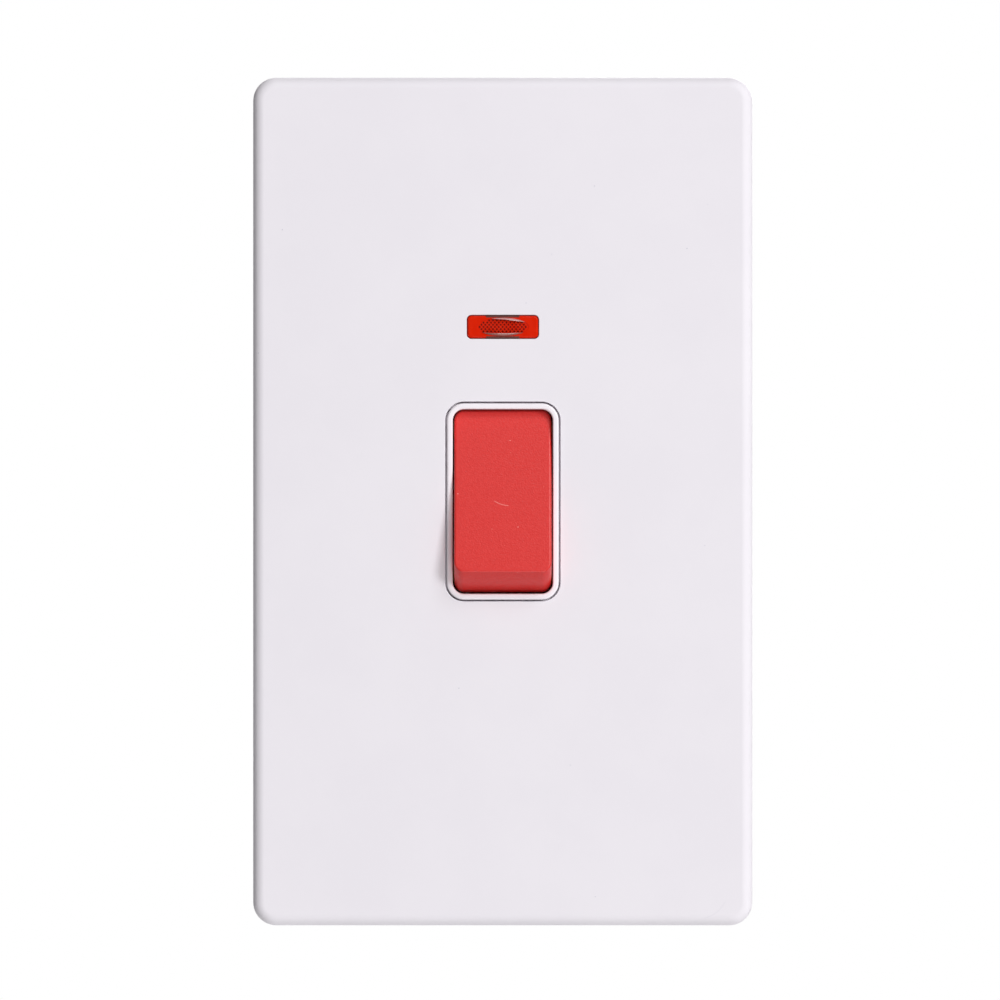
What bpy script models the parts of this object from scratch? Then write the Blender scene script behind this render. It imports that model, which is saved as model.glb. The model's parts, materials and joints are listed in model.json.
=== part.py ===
"""Double pole switch with neon on a vertical two-gang flat plate.

The plate hangs on a wall: its face looks along -Y, +X is to its right and +Z is up. The wall
surface is the plane y = 0, and the origin is the middle of the two wall box fixing screws.
Lengths are in metres.
"""

import math

import bmesh
import bpy
from mathutils import Matrix, Vector

# Clearances
SEAT = 0.0003             # between pieces that rest on each other
SLIDE = 0.00025           # round a piece that slides or turns
FUSE = 0.0005             # how far a shape reaches into the one it is joined to
CUT = 0.002               # how far a cutter stands out of what it cuts

# Front plate: a pressed and painted steel tray
PLATE_WIDTH = 0.086
PLATE_END = 0.0127        # wall box fixing screw to the end of the plate
FIXING_PITCH = 0.1206     # two-gang wall box
PLATE_HEIGHT = FIXING_PITCH + 2 * PLATE_END
PLATE_DEPTH = 0.006       # wall to front face
PLATE_SHEET = 0.001
PLATE_CORNER = 0.004
PLATE_ROLL = 0.002        # rolled edge round the front face
PLATE_WALL_GAP = 0.0002
PLATE_FRONT = -PLATE_DEPTH
PLATE_INNER = PLATE_FRONT + PLATE_SHEET

# Rocker, in its own frame: pivot at the origin, face towards -Y
ROCKER_WIDTH = 0.0167
ROCKER_REACH = 0.0165     # radius of the end faces about the pivot
ROCKER_FACE = 0.00873     # pivot to face
ROCKER_TILT = math.radians(12)
ROCKER_WALL = 0.0016
ROCKER_CORNER = 0.0017
ROCKER_FILLET = 0.0004
ROCKER_SKIRT = -0.002     # rear edge of the end walls
ROCKER_SIDE_GAP = 0.00025
ROCKER_END_GAP = 0.00035
EAR_RADIUS = 0.0032
TRUNNION_RADIUS = 0.002
TRUNNION_LENGTH = 0.00225
WEB_THICKNESS = 0.0011
WEB_BACK = -0.0042
SWEEP_GAP = 0.00045       # round the end faces as they swing
HALF_CHORD = math.sqrt(ROCKER_REACH ** 2 - ROCKER_FACE ** 2)

# White rim round the rocker, part of the switch cover
RIM_PROUD = 0.0004        # rim above the front plate
RIM_WALL = 0.001
RIM_PLATE_GAP = 0.0003
PIVOT_BEHIND_RIM = 0.0073
RIM_FRONT = PLATE_FRONT - RIM_PROUD
PIVOT_Y = RIM_FRONT + PIVOT_BEHIND_RIM
OPENING_WIDTH = ROCKER_WIDTH + 2 * ROCKER_SIDE_GAP
OPENING_HEIGHT = 2 * (ROCKER_FACE * math.sin(ROCKER_TILT) + HALF_CHORD * math.cos(ROCKER_TILT)
                      + ROCKER_END_GAP)
OPENING_CORNER = ROCKER_CORNER + ROCKER_SIDE_GAP
RIM_WIDTH = OPENING_WIDTH + 2 * RIM_WALL
RIM_HEIGHT = OPENING_HEIGHT + 2 * RIM_WALL
RIM_CORNER = OPENING_CORNER + RIM_WALL

# Support frame that the plate clips to
FRAME_BASE = 0.0022
FRAME_PLATE_GAP = 0.0004
FRAME_RIM = 0.0018
FRAME_FRONT = -FRAME_BASE
FRAME_RIM_GAP = 0.0008    # below the plate's inner face, clear of its rolled edge
FRAME_RIM_FRONT = PLATE_INNER + FRAME_RIM_GAP
FRAME_WIDTH = PLATE_WIDTH - 2 * (PLATE_SHEET + FRAME_PLATE_GAP)
FRAME_HEIGHT = PLATE_HEIGHT - 2 * (PLATE_SHEET + FRAME_PLATE_GAP)
FRAME_CORNER = PLATE_CORNER - PLATE_SHEET - FRAME_PLATE_GAP
FIXING_Z = FIXING_PITCH / 2
FIXING_RADIUS = 0.00175
FIXING_HEAD_RADIUS = 0.0034
FIXING_HEAD = 0.0019
FIXING_LENGTH = 0.0225    # under the head
FIXING_SLOT = 0.003       # extra width of the lower, adjusting slot
FIXING_HOLE_GAP = 0.0003
BOSS_WALL = 0.0022
RIB_THICKNESS = 0.0014
NUB_HEIGHT = 0.00025
NUB_LENGTH = 0.006
NUB_DEPTH = 0.0012
NUB_Z = 0.045
PRISE_WIDTH = 0.007       # slot for lifting the plate off
PRISE_DEPTH = 0.0012

# Switch module: cover in front, body behind
COVER_FLANGE = 0.0017
BODY_WIDTH = 0.046
BODY_END = 0.00755        # body beyond the rocker's sweep at each end
BODY_HEIGHT = 2 * (ROCKER_REACH + SWEEP_GAP + BODY_END)
COVER_SIDE = 0.006        # cover beyond the body at each side
COVER_END = 0.0012        # and at each end
COVER_WIDTH = BODY_WIDTH + 2 * COVER_SIDE
COVER_HEIGHT = BODY_HEIGHT + 2 * COVER_END
COVER_CORNER = 0.002
SHOULDER_WALL = 0.0017
COVER_BACK = FRAME_FRONT - SEAT
COVER_FRONT = COVER_BACK - COVER_FLANGE
SHOULDER_FRONT = PLATE_INNER + SEAT
BODY_CORNER = 0.002
BODY_WALL = 0.0016
BODY_BACK = 0.024
BODY_FRONT = COVER_BACK + SEAT
WINDOW_GAP = 0.0004
CAVITY_SIDE_GAP = 0.00055 # body to rocker side wall
CRADLE_WALL = 0.0021
BARRIER = 0.0018          # wall between the two poles
POLE_END_GAP = 0.0007     # terminal tongue to the end of its pole's chamber
LEVER_END_GAP = 0.0015    # lever to the same end
SCREW_RADIUS = 0.0014     # self-tapping screws of the module
SCREW_HEAD_RADIUS = 0.0022
SCREW_HEAD = 0.0012
SCREW_HOLE_GAP = 0.0002
BODY_SCREW_BOSS = 0.0024
BODY_SCREW_BOSS_BACK = 0.004
BODY_SCREW_HEAD_RADIUS = 0.0027
BODY_SCREW_HEAD = 0.0016
BODY_SCREW_SINK = 0.0004
BODY_SCREW_SIDE = 0.0035  # screws in from the body's sides and ends
BODY_SCREW_END = 0.0037
BODY_SCREW_X = BODY_WIDTH / 2 - BODY_SCREW_SIDE
BODY_SCREW_Z = BODY_HEIGHT / 2 - BODY_SCREW_END
MODULE_SCREW_SIDE = 0.0031   # screws in from the cover's sides and ends
MODULE_SCREW_END = 0.0057
MODULE_SCREW_X = COVER_WIDTH / 2 - MODULE_SCREW_SIDE
MODULE_SCREW_Z = COVER_HEIGHT / 2 - MODULE_SCREW_END
MODULE_SCREW_BACK = -0.0004
MODULE_RECESS = 0.001
PILOT_IN_FLANGE = 0.0005
CAVITY_FLOOR_GAP = 0.0005
POLE_SIDE_GAP = 0.0013
CORE_WALL = 0.0006
CORE_FRONT = 0.0065
RIM_SOFT = 0.0003

# Contact levers, in their own frame: knuckle centre at the origin
LEVER_PIVOT_BEHIND = 0.012   # rocker pivot to lever knuckle
LEVER_APEX = 0.0014       # knuckle centre to front of the bend
LEVER_THICKNESS = 0.0012
LEVER_WIDTH = 0.0054
LEVER_BEND = math.radians(9)
LEVER_SWING = math.radians(9)
LEVER_UPPER = 0.0117
LEVER_LOWER = 0.0076
KNUCKLE_RADIUS = 0.0009
POLE_X = 0.0045
LEVER_Y = PIVOT_Y + LEVER_PIVOT_BEHIND
TIP_ALONG = 0.0096        # bend to contact tip, along the upper arm
TIP_RADIUS = 0.0019
TIP_HEIGHT = 0.0009
TIP_SHANK_RADIUS = 0.0008
TIP_GAP = 0.0001          # between a tip and what it is riveted to
CONTACT_GAP = 0.00015     # between the closed tips

# Plungers and their springs, in the rocker's frame
PLUNGER_RADIUS = 0.002
PLUNGER_TIP = 0.0105      # rocker pivot to rounded end
PLUNGER_BASE = 0.0028
TUBE_WALL = 0.00075
TUBE_BACK = 0.006
BORE_FRONT = -0.0045
SPRING_WIRE = 0.00024
SPRING_TURNS = 5

# Clamp terminals
BLOCK_WIDTH = 0.0098
BLOCK_LENGTH = 0.0115
BLOCK_FRONT = 0.010
BLOCK_BACK = 0.021
BLOCK_CHAMFER = 0.0004
TUNNEL_RADIUS = 0.00325
TUNNEL_Y = 0.014
STRAP_THICKNESS = 0.0012
STRAP_FRONT = 0.015
STRAP_WIDTH = 0.0048
BRIDGE_HEIGHT = 0.0034
SADDLE_FRONT_GAP = 0.00035
SADDLE_HALF = 0.0019
STOP_HEIGHT = 0.0016
STOP_Z = -0.0066
CLAMP_RADIUS = 0.0023
CLAMP_HEAD_RADIUS = 0.0028
CLAMP_HEAD = 0.0018
CLAMP_RETRACT = 0.00035   # clamp screw tip clear of the tunnel
CLAMP_HOLE_GAP = 0.0003
WELL_GAP = 0.0004
ENTRY_GAP = 0.00055       # cable entry wider than the tunnel
SLOT_WIDTH = 0.0008       # screwdriver slots
SLOT_DEPTH = 0.0008

# Neon indicator
NEON_COVER_GAP = 0.0005   # switch cover to the neon's holder
LENS_WIDTH = 0.0124       # window in the plate
LENS_HEIGHT = 0.0041
LENS_CORNER = 0.0008
LENS_GAP = 0.00012
LENS_PROUD = 0.0001
LENS_FLANGE_WIDTH = 0.0156
LENS_FLANGE_HEIGHT = 0.0068
LENS_FLANGE = 0.001
LENS_WALL = 0.0009
DOME_HALF_WIDTH = 0.003
DOME_HALF_HEIGHT = 0.0014
DOME_RISE = 0.0006
HOLDER_WIDTH = 0.0164
HOLDER_HEIGHT = 0.0076
NEON_Z = COVER_HEIGHT / 2 + NEON_COVER_GAP + HOLDER_HEIGHT / 2
HOLDER_WALL = 0.001
HOLDER_FLANGE_WIDTH = 0.021
LAMP_SINK = 0.0006        # front of the holder to the lamp
LAMP_RADIUS = 0.0022
LAMP_HALF_LENGTH = 0.005
RESISTOR_RADIUS = 0.0012
RESISTOR_HALF_LENGTH = 0.0032
LEAD_RADIUS = 0.0005
LEAD_SIDE = 0.0063        # where the lamp's lead leaves the holder
RESISTOR_EXIT = 0.0047    # where the resistor's lead leaves it
LEAD_ENTRY_X = 0.0126
LEAD_ENTRY_Y = 0.0193

# Earth connection
EARTH_STRAP_WIDTH = 0.009
EARTH_STRAP_THICKNESS = 0.001
EARTH_STRAP_SINK = 0.0001 # below the frame's rear face
EARTH_COVER_GAP = 0.0078  # switch cover to the earth terminal
EARTH_SIZE = 0.009
EARTH_Z = -(COVER_HEIGHT / 2 + EARTH_COVER_GAP + EARTH_SIZE / 2)
EARTH_DEPTH = 0.011
EARTH_TUNNEL_RADIUS = 0.0031
EARTH_TUNNEL_BEHIND = 0.004
EARTH_SCREW_RADIUS = 0.0018
EARTH_SPIGOT_RADIUS = 0.0014
FINGER_DROP = 0.00085     # below the middle between earth terminal and fixing screw
FINGER_Z = (EARTH_Z - FIXING_Z) / 2 - FINGER_DROP
FINGER_WIDTH = 0.005
FINGER_FOOT = 0.0045

ROUND = 16                # sides of a turned piece
ROUND_SMALL = 8
CORNER_STEPS = 5          # facets in a corner that shows
SWING_SIDES = 72

# Places worked out from the sizes above
CAVITY_HALF_WIDTH = ROCKER_WIDTH / 2 + CAVITY_SIDE_GAP
CAVITY_BACK = PIVOT_Y + EAR_RADIUS + CAVITY_FLOOR_GAP
CRADLE_RADIUS = TRUNNION_RADIUS + SLIDE
CRADLE_END = CAVITY_HALF_WIDTH + CRADLE_WALL
POLE_OUTER = POLE_X + LEVER_WIDTH / 2 + POLE_SIDE_GAP
POLE_FLOOR = STRAP_FRONT + STRAP_THICKNESS + SEAT
BLOCK_X = BODY_WIDTH / 2 - BODY_WALL - SEAT - BLOCK_WIDTH / 2
BLOCK_Z = BODY_HEIGHT / 2 - BODY_WALL - SEAT - BLOCK_LENGTH / 2
BRIDGE_Z = BLOCK_Z - BLOCK_LENGTH / 2
POLE_HALF_HEIGHT = max(LEVER_UPPER + LEVER_END_GAP, BRIDGE_Z + BRIDGE_HEIGHT + POLE_END_GAP)
ARM_REAR = LEVER_Y - LEVER_APEX * math.cos(LEVER_SWING) + LEVER_THICKNESS
CONTACT_Z = LEVER_APEX * math.sin(LEVER_SWING) + TIP_ALONG
MODULE_HEAD_BACK = COVER_FRONT + MODULE_RECESS - SEAT
BODY_HEAD_FRONT = BODY_BACK - BODY_SCREW_SINK - BODY_SCREW_HEAD
HOLDER_FRONT = PLATE_INNER + SEAT + LENS_FLANGE + SEAT
LAMP_Y = HOLDER_FRONT + LAMP_SINK + LAMP_RADIUS
RESISTOR_Y = LAMP_Y + LAMP_RADIUS + SEAT + RESISTOR_RADIUS
HOLDER_FLOOR = RESISTOR_Y + RESISTOR_RADIUS + SEAT
HOLDER_BACK = HOLDER_FLOOR + HOLDER_WALL
EARTH_STRAP_BACK = -EARTH_STRAP_SINK
EARTH_STRAP_FRONT = EARTH_STRAP_BACK - EARTH_STRAP_THICKNESS
EARTH_STRAP_BOTTOM = -FIXING_Z - EARTH_STRAP_WIDTH / 2
EARTH_STRAP_TOP = EARTH_Z + EARTH_SIZE / 2
EARTH_FRONT = EARTH_STRAP_BACK + SEAT
EARTH_TUNNEL_Y = EARTH_FRONT + EARTH_TUNNEL_BEHIND

LOCAL_AXES = {
    "X": Matrix(((0, 0, 1), (1, 0, 0), (0, 1, 0))),
    "Y": Matrix(((1, 0, 0), (0, 0, -1), (0, 1, 0))),
    "Z": Matrix.Identity(3),
}

for existing in list(bpy.data.objects):
    bpy.data.objects.remove(existing, do_unlink=True)

PARTS = bpy.data.collections.new("double_pole_switch")
bpy.context.scene.collection.children.link(PARTS)


def make_material(name, colour, roughness, metallic=0.0, transmission=0.0):
    material = bpy.data.materials.new(name)
    material.use_nodes = True
    shader = material.node_tree.nodes["Principled BSDF"]
    shader.inputs["Base Color"].default_value = (*colour, 1.0)
    shader.inputs["Roughness"].default_value = roughness
    shader.inputs["Metallic"].default_value = metallic
    shader.inputs["Transmission Weight"].default_value = transmission
    material.diffuse_color = (*colour, 1.0)
    return material


PAINT = make_material("painted_steel", (0.84, 0.81, 0.85), 0.35)
WHITE = make_material("white_moulding", (0.90, 0.88, 0.90), 0.30)
RED = make_material("red_moulding", (0.69, 0.045, 0.038), 0.45)
LENS_RED = make_material("red_lens", (0.60, 0.01, 0.005), 0.15, transmission=0.6)
THERMOSET = make_material("thermoset", (0.78, 0.77, 0.72), 0.45)
FRAME_WHITE = make_material("frame_moulding", (0.80, 0.80, 0.78), 0.50)
ACETAL = make_material("acetal", (0.85, 0.84, 0.78), 0.40)
BRASS = make_material("brass", (0.74, 0.58, 0.28), 0.35, metallic=1.0)
COPPER = make_material("copper", (0.72, 0.36, 0.22), 0.35, metallic=1.0)
SILVER = make_material("silver", (0.85, 0.84, 0.82), 0.30, metallic=1.0)
STEEL = make_material("zinc_plated_steel", (0.62, 0.63, 0.65), 0.35, metallic=1.0)
GLASS = make_material("glass", (0.92, 0.92, 0.90), 0.05, transmission=0.9)
CERAMIC = make_material("resistor_coat", (0.66, 0.55, 0.38), 0.50)
INSULATION = make_material("lead_insulation", (0.80, 0.80, 0.80), 0.45)


def arc(centre, radius, start, end, steps):
    """Points on a circle from one angle to another, in degrees, both ends included."""
    angles = [math.radians(start + (end - start) * step / steps) for step in range(steps + 1)]
    return [(centre[0] + radius * math.cos(a), centre[1] + radius * math.sin(a)) for a in angles]


def rounded_rectangle(width, height, radius, centre=(0.0, 0.0), steps=3):
    half_width = width / 2 - radius
    half_height = height / 2 - radius
    points = []
    for quarter, (side, level) in enumerate(((1, 1), (-1, 1), (-1, -1), (1, -1))):
        corner = (centre[0] + side * half_width, centre[1] + level * half_height)
        points += arc(corner, radius, 90 * quarter, 90 * quarter + 90, steps)
    return points


def evaluated_mesh(obj):
    """The object's mesh as its modifiers or its curve settings make it."""
    bpy.context.view_layer.update()
    depsgraph = bpy.context.evaluated_depsgraph_get()
    return bpy.data.meshes.new_from_object(obj.evaluated_get(depsgraph), depsgraph=depsgraph)


def remove(obj):
    bpy.data.objects.remove(obj, do_unlink=True)


def weld(mesh):
    """Close a mesh whose caps are loose, and point its faces outwards."""
    bm = bmesh.new()
    bm.from_mesh(mesh)
    bmesh.ops.remove_doubles(bm, verts=bm.verts, dist=1e-6)
    bmesh.ops.recalc_face_normals(bm, faces=bm.faces)
    bm.to_mesh(mesh)
    bm.free()


def add_object(name, mesh):
    obj = bpy.data.objects.new(name, mesh)
    PARTS.objects.link(obj)
    return obj


def object_from(name, bm):
    mesh = bpy.data.meshes.new(name)
    bm.to_mesh(mesh)
    bm.free()
    return add_object(name, mesh)


def extrusion(name, outlines, axis, low, high):
    """A flat outline with its holes, given thickness along one axis.

    Along X an outline is drawn in (y, z), along Y in (x, z) and along Z in (x, y).
    """
    curve = bpy.data.curves.new(name, "CURVE")
    curve.dimensions = "2D"
    curve.fill_mode = "BOTH"
    curve.extrude = (high - low) / 2
    for outline in outlines:
        spline = curve.splines.new("POLY")
        spline.points.add(len(outline) - 1)
        for point, place in zip(spline.points, outline):
            point.co = (*place, 0.0, 1.0)
        spline.use_cyclic_u = True
    flat = add_object(name, curve)
    mesh = evaluated_mesh(flat)
    remove(flat)
    middle = Vector([(low + high) / 2 if letter == axis else 0.0 for letter in "XYZ"])
    mesh.transform(Matrix.Translation(middle) @ LOCAL_AXES[axis].to_4x4())
    weld(mesh)
    return add_object(name, mesh)


def block(name, low, high):
    low, high = Vector(low), Vector(high)
    bm = bmesh.new()
    place = Matrix.Translation((low + high) / 2) @ Matrix.Diagonal((*(high - low), 1.0))
    bmesh.ops.create_cube(bm, size=1.0, matrix=place)
    return object_from(name, bm)


def rod(name, start, end, radius, sides=ROUND):
    start, end = Vector(start), Vector(end)
    run = end - start
    bm = bmesh.new()
    place = Matrix.Translation((start + end) / 2) @ run.to_track_quat("Z", "Y").to_matrix().to_4x4()
    bmesh.ops.create_cone(bm, cap_ends=True, segments=sides, radius1=radius, radius2=radius,
                          depth=run.length, matrix=place)
    return object_from(name, bm)


def turned(name, profile, place, sides=ROUND):
    """A profile of (radius, height) points turned about its height axis, then put in place."""
    mesh = bpy.data.meshes.new(name)
    points = [(radius, 0.0, height) for radius, height in profile]
    mesh.from_pydata(points, [(i, i + 1) for i in range(len(points) - 1)], [])
    obj = add_object(name, mesh)
    screw = obj.modifiers.new("turn", "SCREW")
    screw.axis = "Z"
    screw.steps = sides
    screw.render_steps = sides
    screw.use_merge_vertices = True
    screw.merge_threshold = 0.00001
    solid = evaluated_mesh(obj)
    remove(obj)
    weld(solid)
    solid.transform(place)
    return add_object(name, solid)


def wire(name, points, radius, resolution=1):
    """A round wire or insulated lead through a list of points."""
    curve = bpy.data.curves.new(name, "CURVE")
    curve.dimensions = "3D"
    curve.bevel_depth = radius
    curve.bevel_resolution = resolution
    curve.use_fill_caps = True
    spline = curve.splines.new("POLY")
    spline.points.add(len(points) - 1)
    for point, place in zip(spline.points, points):
        point.co = (*place, 1.0)
    lead = add_object(name, curve)
    mesh = evaluated_mesh(lead)
    remove(lead)
    weld(mesh)
    return add_object(name, mesh)


def combine(target, operation, tools):
    """Apply Boolean cuts or unions to a piece and clear the tools away."""
    for tool in tools:
        modifier = target.modifiers.new(tool.name, "BOOLEAN")
        modifier.operation = operation
        modifier.solver = "EXACT"
        modifier.object = tool
    mesh = evaluated_mesh(target)
    target.modifiers.clear()
    target.data = mesh
    for tool in tools:
        remove(tool)
    return target


def carve(target, *tools):
    return combine(target, "DIFFERENCE", tools)


def fuse(target, *tools):
    return combine(target, "UNION", tools)


def dress(obj, material, parent=None):
    """Give a finished piece its material, smooth round faces and, if it moves, its pivot."""
    obj.data.materials.clear()
    obj.data.materials.append(material)
    obj.data.shade_smooth()
    obj.data.set_sharp_from_angle(angle=math.radians(35))
    obj.parent = parent
    return obj


def pivot(name, location, turn=0.0):
    """An empty on a joint's axis; what it carries is modelled about its origin."""
    empty = bpy.data.objects.new(name, None)
    empty.location = location
    empty.rotation_euler = (turn, 0.0, 0.0)
    PARTS.objects.link(empty)
    return empty


def smooth_route(points, steps):
    """Points on a smooth curve through the given ones."""
    ends = [points[0]] + list(points) + [points[-1]]
    route = []
    for index in range(1, len(ends) - 2):
        before, start, end, after = (Vector(p) for p in ends[index - 1:index + 3])
        for step in range(steps):
            t = step / steps
            route.append(0.5 * (2 * start + (end - before) * t
                                + (2 * before - 5 * start + 4 * end - after) * t ** 2
                                + (3 * start - before - 3 * end + after) * t ** 3))
    route.append(Vector(points[-1]))
    return route


def at_level(element, level):
    """Whether an edge or a face lies in the plane y = level."""
    return all(abs(vert.co.y - level) < 1e-6 for vert in element.verts)


def soften(obj, level, width, segments):
    """Round the edges of a piece that lie in the plane y = level."""
    bm = bmesh.new()
    bm.from_mesh(obj.data)
    bmesh.ops.dissolve_limit(bm, angle_limit=math.radians(1), verts=bm.verts, edges=bm.edges)
    edges = [edge for edge in bm.edges if at_level(edge, level)]
    bmesh.ops.bevel(bm, geom=edges, offset=width, segments=segments, profile=0.5, affect="EDGES")
    bm.to_mesh(obj.data)
    bm.free()


def along_y(name, place, front, back, radius, sides=ROUND):
    """A round shape along Y at a place (x, z) on the plate."""
    return rod(name, (place[0], front, place[1]), (place[0], back, place[1]), radius, sides)


def make_front_plate():
    outline = rounded_rectangle(PLATE_WIDTH, PLATE_HEIGHT, PLATE_CORNER, steps=CORNER_STEPS)
    plate = extrusion("front_plate", [outline], "Y", PLATE_FRONT, -PLATE_WALL_GAP)
    soften(plate, PLATE_FRONT, PLATE_ROLL, 5)
    bm = bmesh.new()
    bm.from_mesh(plate.data)
    rear = [face for face in bm.faces if at_level(face, -PLATE_WALL_GAP)]
    bmesh.ops.delete(bm, geom=rear, context="FACES_ONLY")
    bm.to_mesh(plate.data)
    bm.free()
    sheet = plate.modifiers.new("sheet", "SOLIDIFY")
    sheet.thickness = PLATE_SHEET
    sheet.offset = -1.0
    sheet.use_even_offset = True
    rim_hole = rounded_rectangle(RIM_WIDTH + 2 * RIM_PLATE_GAP, RIM_HEIGHT + 2 * RIM_PLATE_GAP,
                                 RIM_CORNER + RIM_PLATE_GAP, steps=CORNER_STEPS)
    lens_hole = rounded_rectangle(LENS_WIDTH, LENS_HEIGHT, LENS_CORNER, (0.0, NEON_Z))
    front, back = PLATE_FRONT - CUT, PLATE_INNER + CUT
    bottom = -PLATE_HEIGHT / 2
    carve(plate,
          extrusion("rim_hole", [rim_hole], "Y", front, back),
          extrusion("lens_hole", [lens_hole], "Y", front, back),
          block("prise_slot", (-PRISE_WIDTH / 2, -PLATE_WALL_GAP - PRISE_DEPTH, bottom - CUT),
                (PRISE_WIDTH / 2, CUT, bottom + PLATE_SHEET + PLATE_ROLL / 2)))
    dress(plate, PAINT)


def fixing_hole(name, level, front, back, radius, extra):
    """A hole for a wall fixing: round at the top, a level slot at the bottom."""
    width = 2 * radius + (extra if level < 0 else 0.0)
    outline = rounded_rectangle(width, 2 * radius, 0.98 * radius, (0.0, level * FIXING_Z))
    return extrusion(name, [outline], "Y", front, back)


def make_support_frame():
    outline = rounded_rectangle(FRAME_WIDTH, FRAME_HEIGHT, FRAME_CORNER)
    inside = rounded_rectangle(FRAME_WIDTH - 2 * FRAME_RIM, FRAME_HEIGHT - 2 * FRAME_RIM,
                               FRAME_CORNER - FRAME_RIM)
    frame = extrusion("support_frame", [outline], "Y", FRAME_RIM_FRONT, 0.0)
    carve(frame, extrusion("tray", [inside], "Y", FRAME_RIM_FRONT - CUT, FRAME_FRONT))
    rib_front, rib_back = FRAME_RIM_FRONT, FRAME_FRONT + FUSE
    added = []
    side_rib = (COVER_WIDTH + FRAME_WIDTH) / 4 - FRAME_RIM / 4
    rib_end = FRAME_HEIGHT / 2 - FRAME_RIM / 2
    for side in (-1, 1):
        x = side * side_rib
        added.append(block("side_rib", (x - RIB_THICKNESS / 2, rib_front, -rib_end),
                           (x + RIB_THICKNESS / 2, rib_back, rib_end)))
        inner, outer = sorted((side * (FINGER_WIDTH / 2 + RIB_THICKNESS), side * side_rib))
        middle = FINGER_Z + FINGER_FOOT / 2
        added.append(block("lower_rib", (inner, rib_front, middle - RIB_THICKNESS / 2),
                           (outer, rib_back, middle + RIB_THICKNESS / 2)))
        edge = side * FRAME_WIDTH / 2
        for level in (-1, 1):
            low_x, high_x = sorted((edge - side * FUSE, edge + side * NUB_HEIGHT))
            z = level * NUB_Z
            y = FRAME_FRONT / 2
            added.append(block("nub", (low_x, y - NUB_DEPTH / 2, z - NUB_LENGTH / 2),
                               (high_x, y + NUB_DEPTH / 2, z + NUB_LENGTH / 2)))
    upper = -(FINGER_Z + FINGER_FOOT / 2)
    added.append(block("upper_rib", (-side_rib, rib_front, upper - RIB_THICKNESS / 2),
                       (side_rib, rib_back, upper + RIB_THICKNESS / 2)))
    head_room = FIXING_HEAD_RADIUS + SEAT
    for level in (-1, 1):
        wide = rounded_rectangle(2 * (head_room + BOSS_WALL) + FIXING_SLOT,
                                 2 * (head_room + BOSS_WALL), 0.98 * (head_room + BOSS_WALL),
                                 (0.0, level * FIXING_Z))
        added.append(extrusion("boss", [wide], "Y", rib_front, rib_back))
    fuse(frame, *added)
    window_width = BODY_WIDTH + 2 * WINDOW_GAP
    window_height = BODY_HEIGHT + 2 * WINDOW_GAP
    holder_width = HOLDER_WIDTH + 2 * WINDOW_GAP
    holder_height = HOLDER_HEIGHT + 2 * WINDOW_GAP
    front, back = FRAME_RIM_FRONT - CUT, CUT
    cuts = [
        extrusion("module_window", [rounded_rectangle(window_width, window_height, BODY_CORNER)],
                  "Y", front, back),
        extrusion("holder_window", [rounded_rectangle(holder_width, holder_height, HOLDER_WALL,
                                                      (0.0, NEON_Z))], "Y", front, back),
        block("strap_channel", (-EARTH_STRAP_WIDTH / 2 - SEAT, EARTH_STRAP_FRONT - SEAT,
                                EARTH_STRAP_BOTTOM - SEAT),
              (EARTH_STRAP_WIDTH / 2 + SEAT, CUT, EARTH_STRAP_TOP + SEAT)),
        block("finger_slot", (-FINGER_WIDTH / 2 - SEAT, front, FINGER_Z - SEAT),
              (FINGER_WIDTH / 2 + SEAT, back, FINGER_Z + FINGER_FOOT + SEAT)),
        block("prise_slot", (-PRISE_WIDTH / 2, -PRISE_DEPTH, -FRAME_HEIGHT / 2 - CUT),
              (PRISE_WIDTH / 2, CUT, -FRAME_HEIGHT / 2 + PRISE_DEPTH)),
    ]
    for level in (-1, 1):
        cuts.append(fixing_hole("fixing_hole", level, front, back,
                                FIXING_RADIUS + FIXING_HOLE_GAP, FIXING_SLOT))
        cuts.append(fixing_hole("head_recess", level, front, FRAME_FRONT, head_room, FIXING_SLOT))
        for side in (-1, 1):
            cuts.append(along_y("module_hole", (side * MODULE_SCREW_X, level * MODULE_SCREW_Z),
                                front, back, SCREW_RADIUS + SCREW_HOLE_GAP, ROUND_SMALL))
    carve(frame, *cuts)
    dress(frame, FRAME_WHITE)


def body_screw_places():
    return [(BODY_SCREW_X, 0.0), (-BODY_SCREW_X, 0.0), (0.0, BODY_SCREW_Z), (0.0, -BODY_SCREW_Z)]


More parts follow.
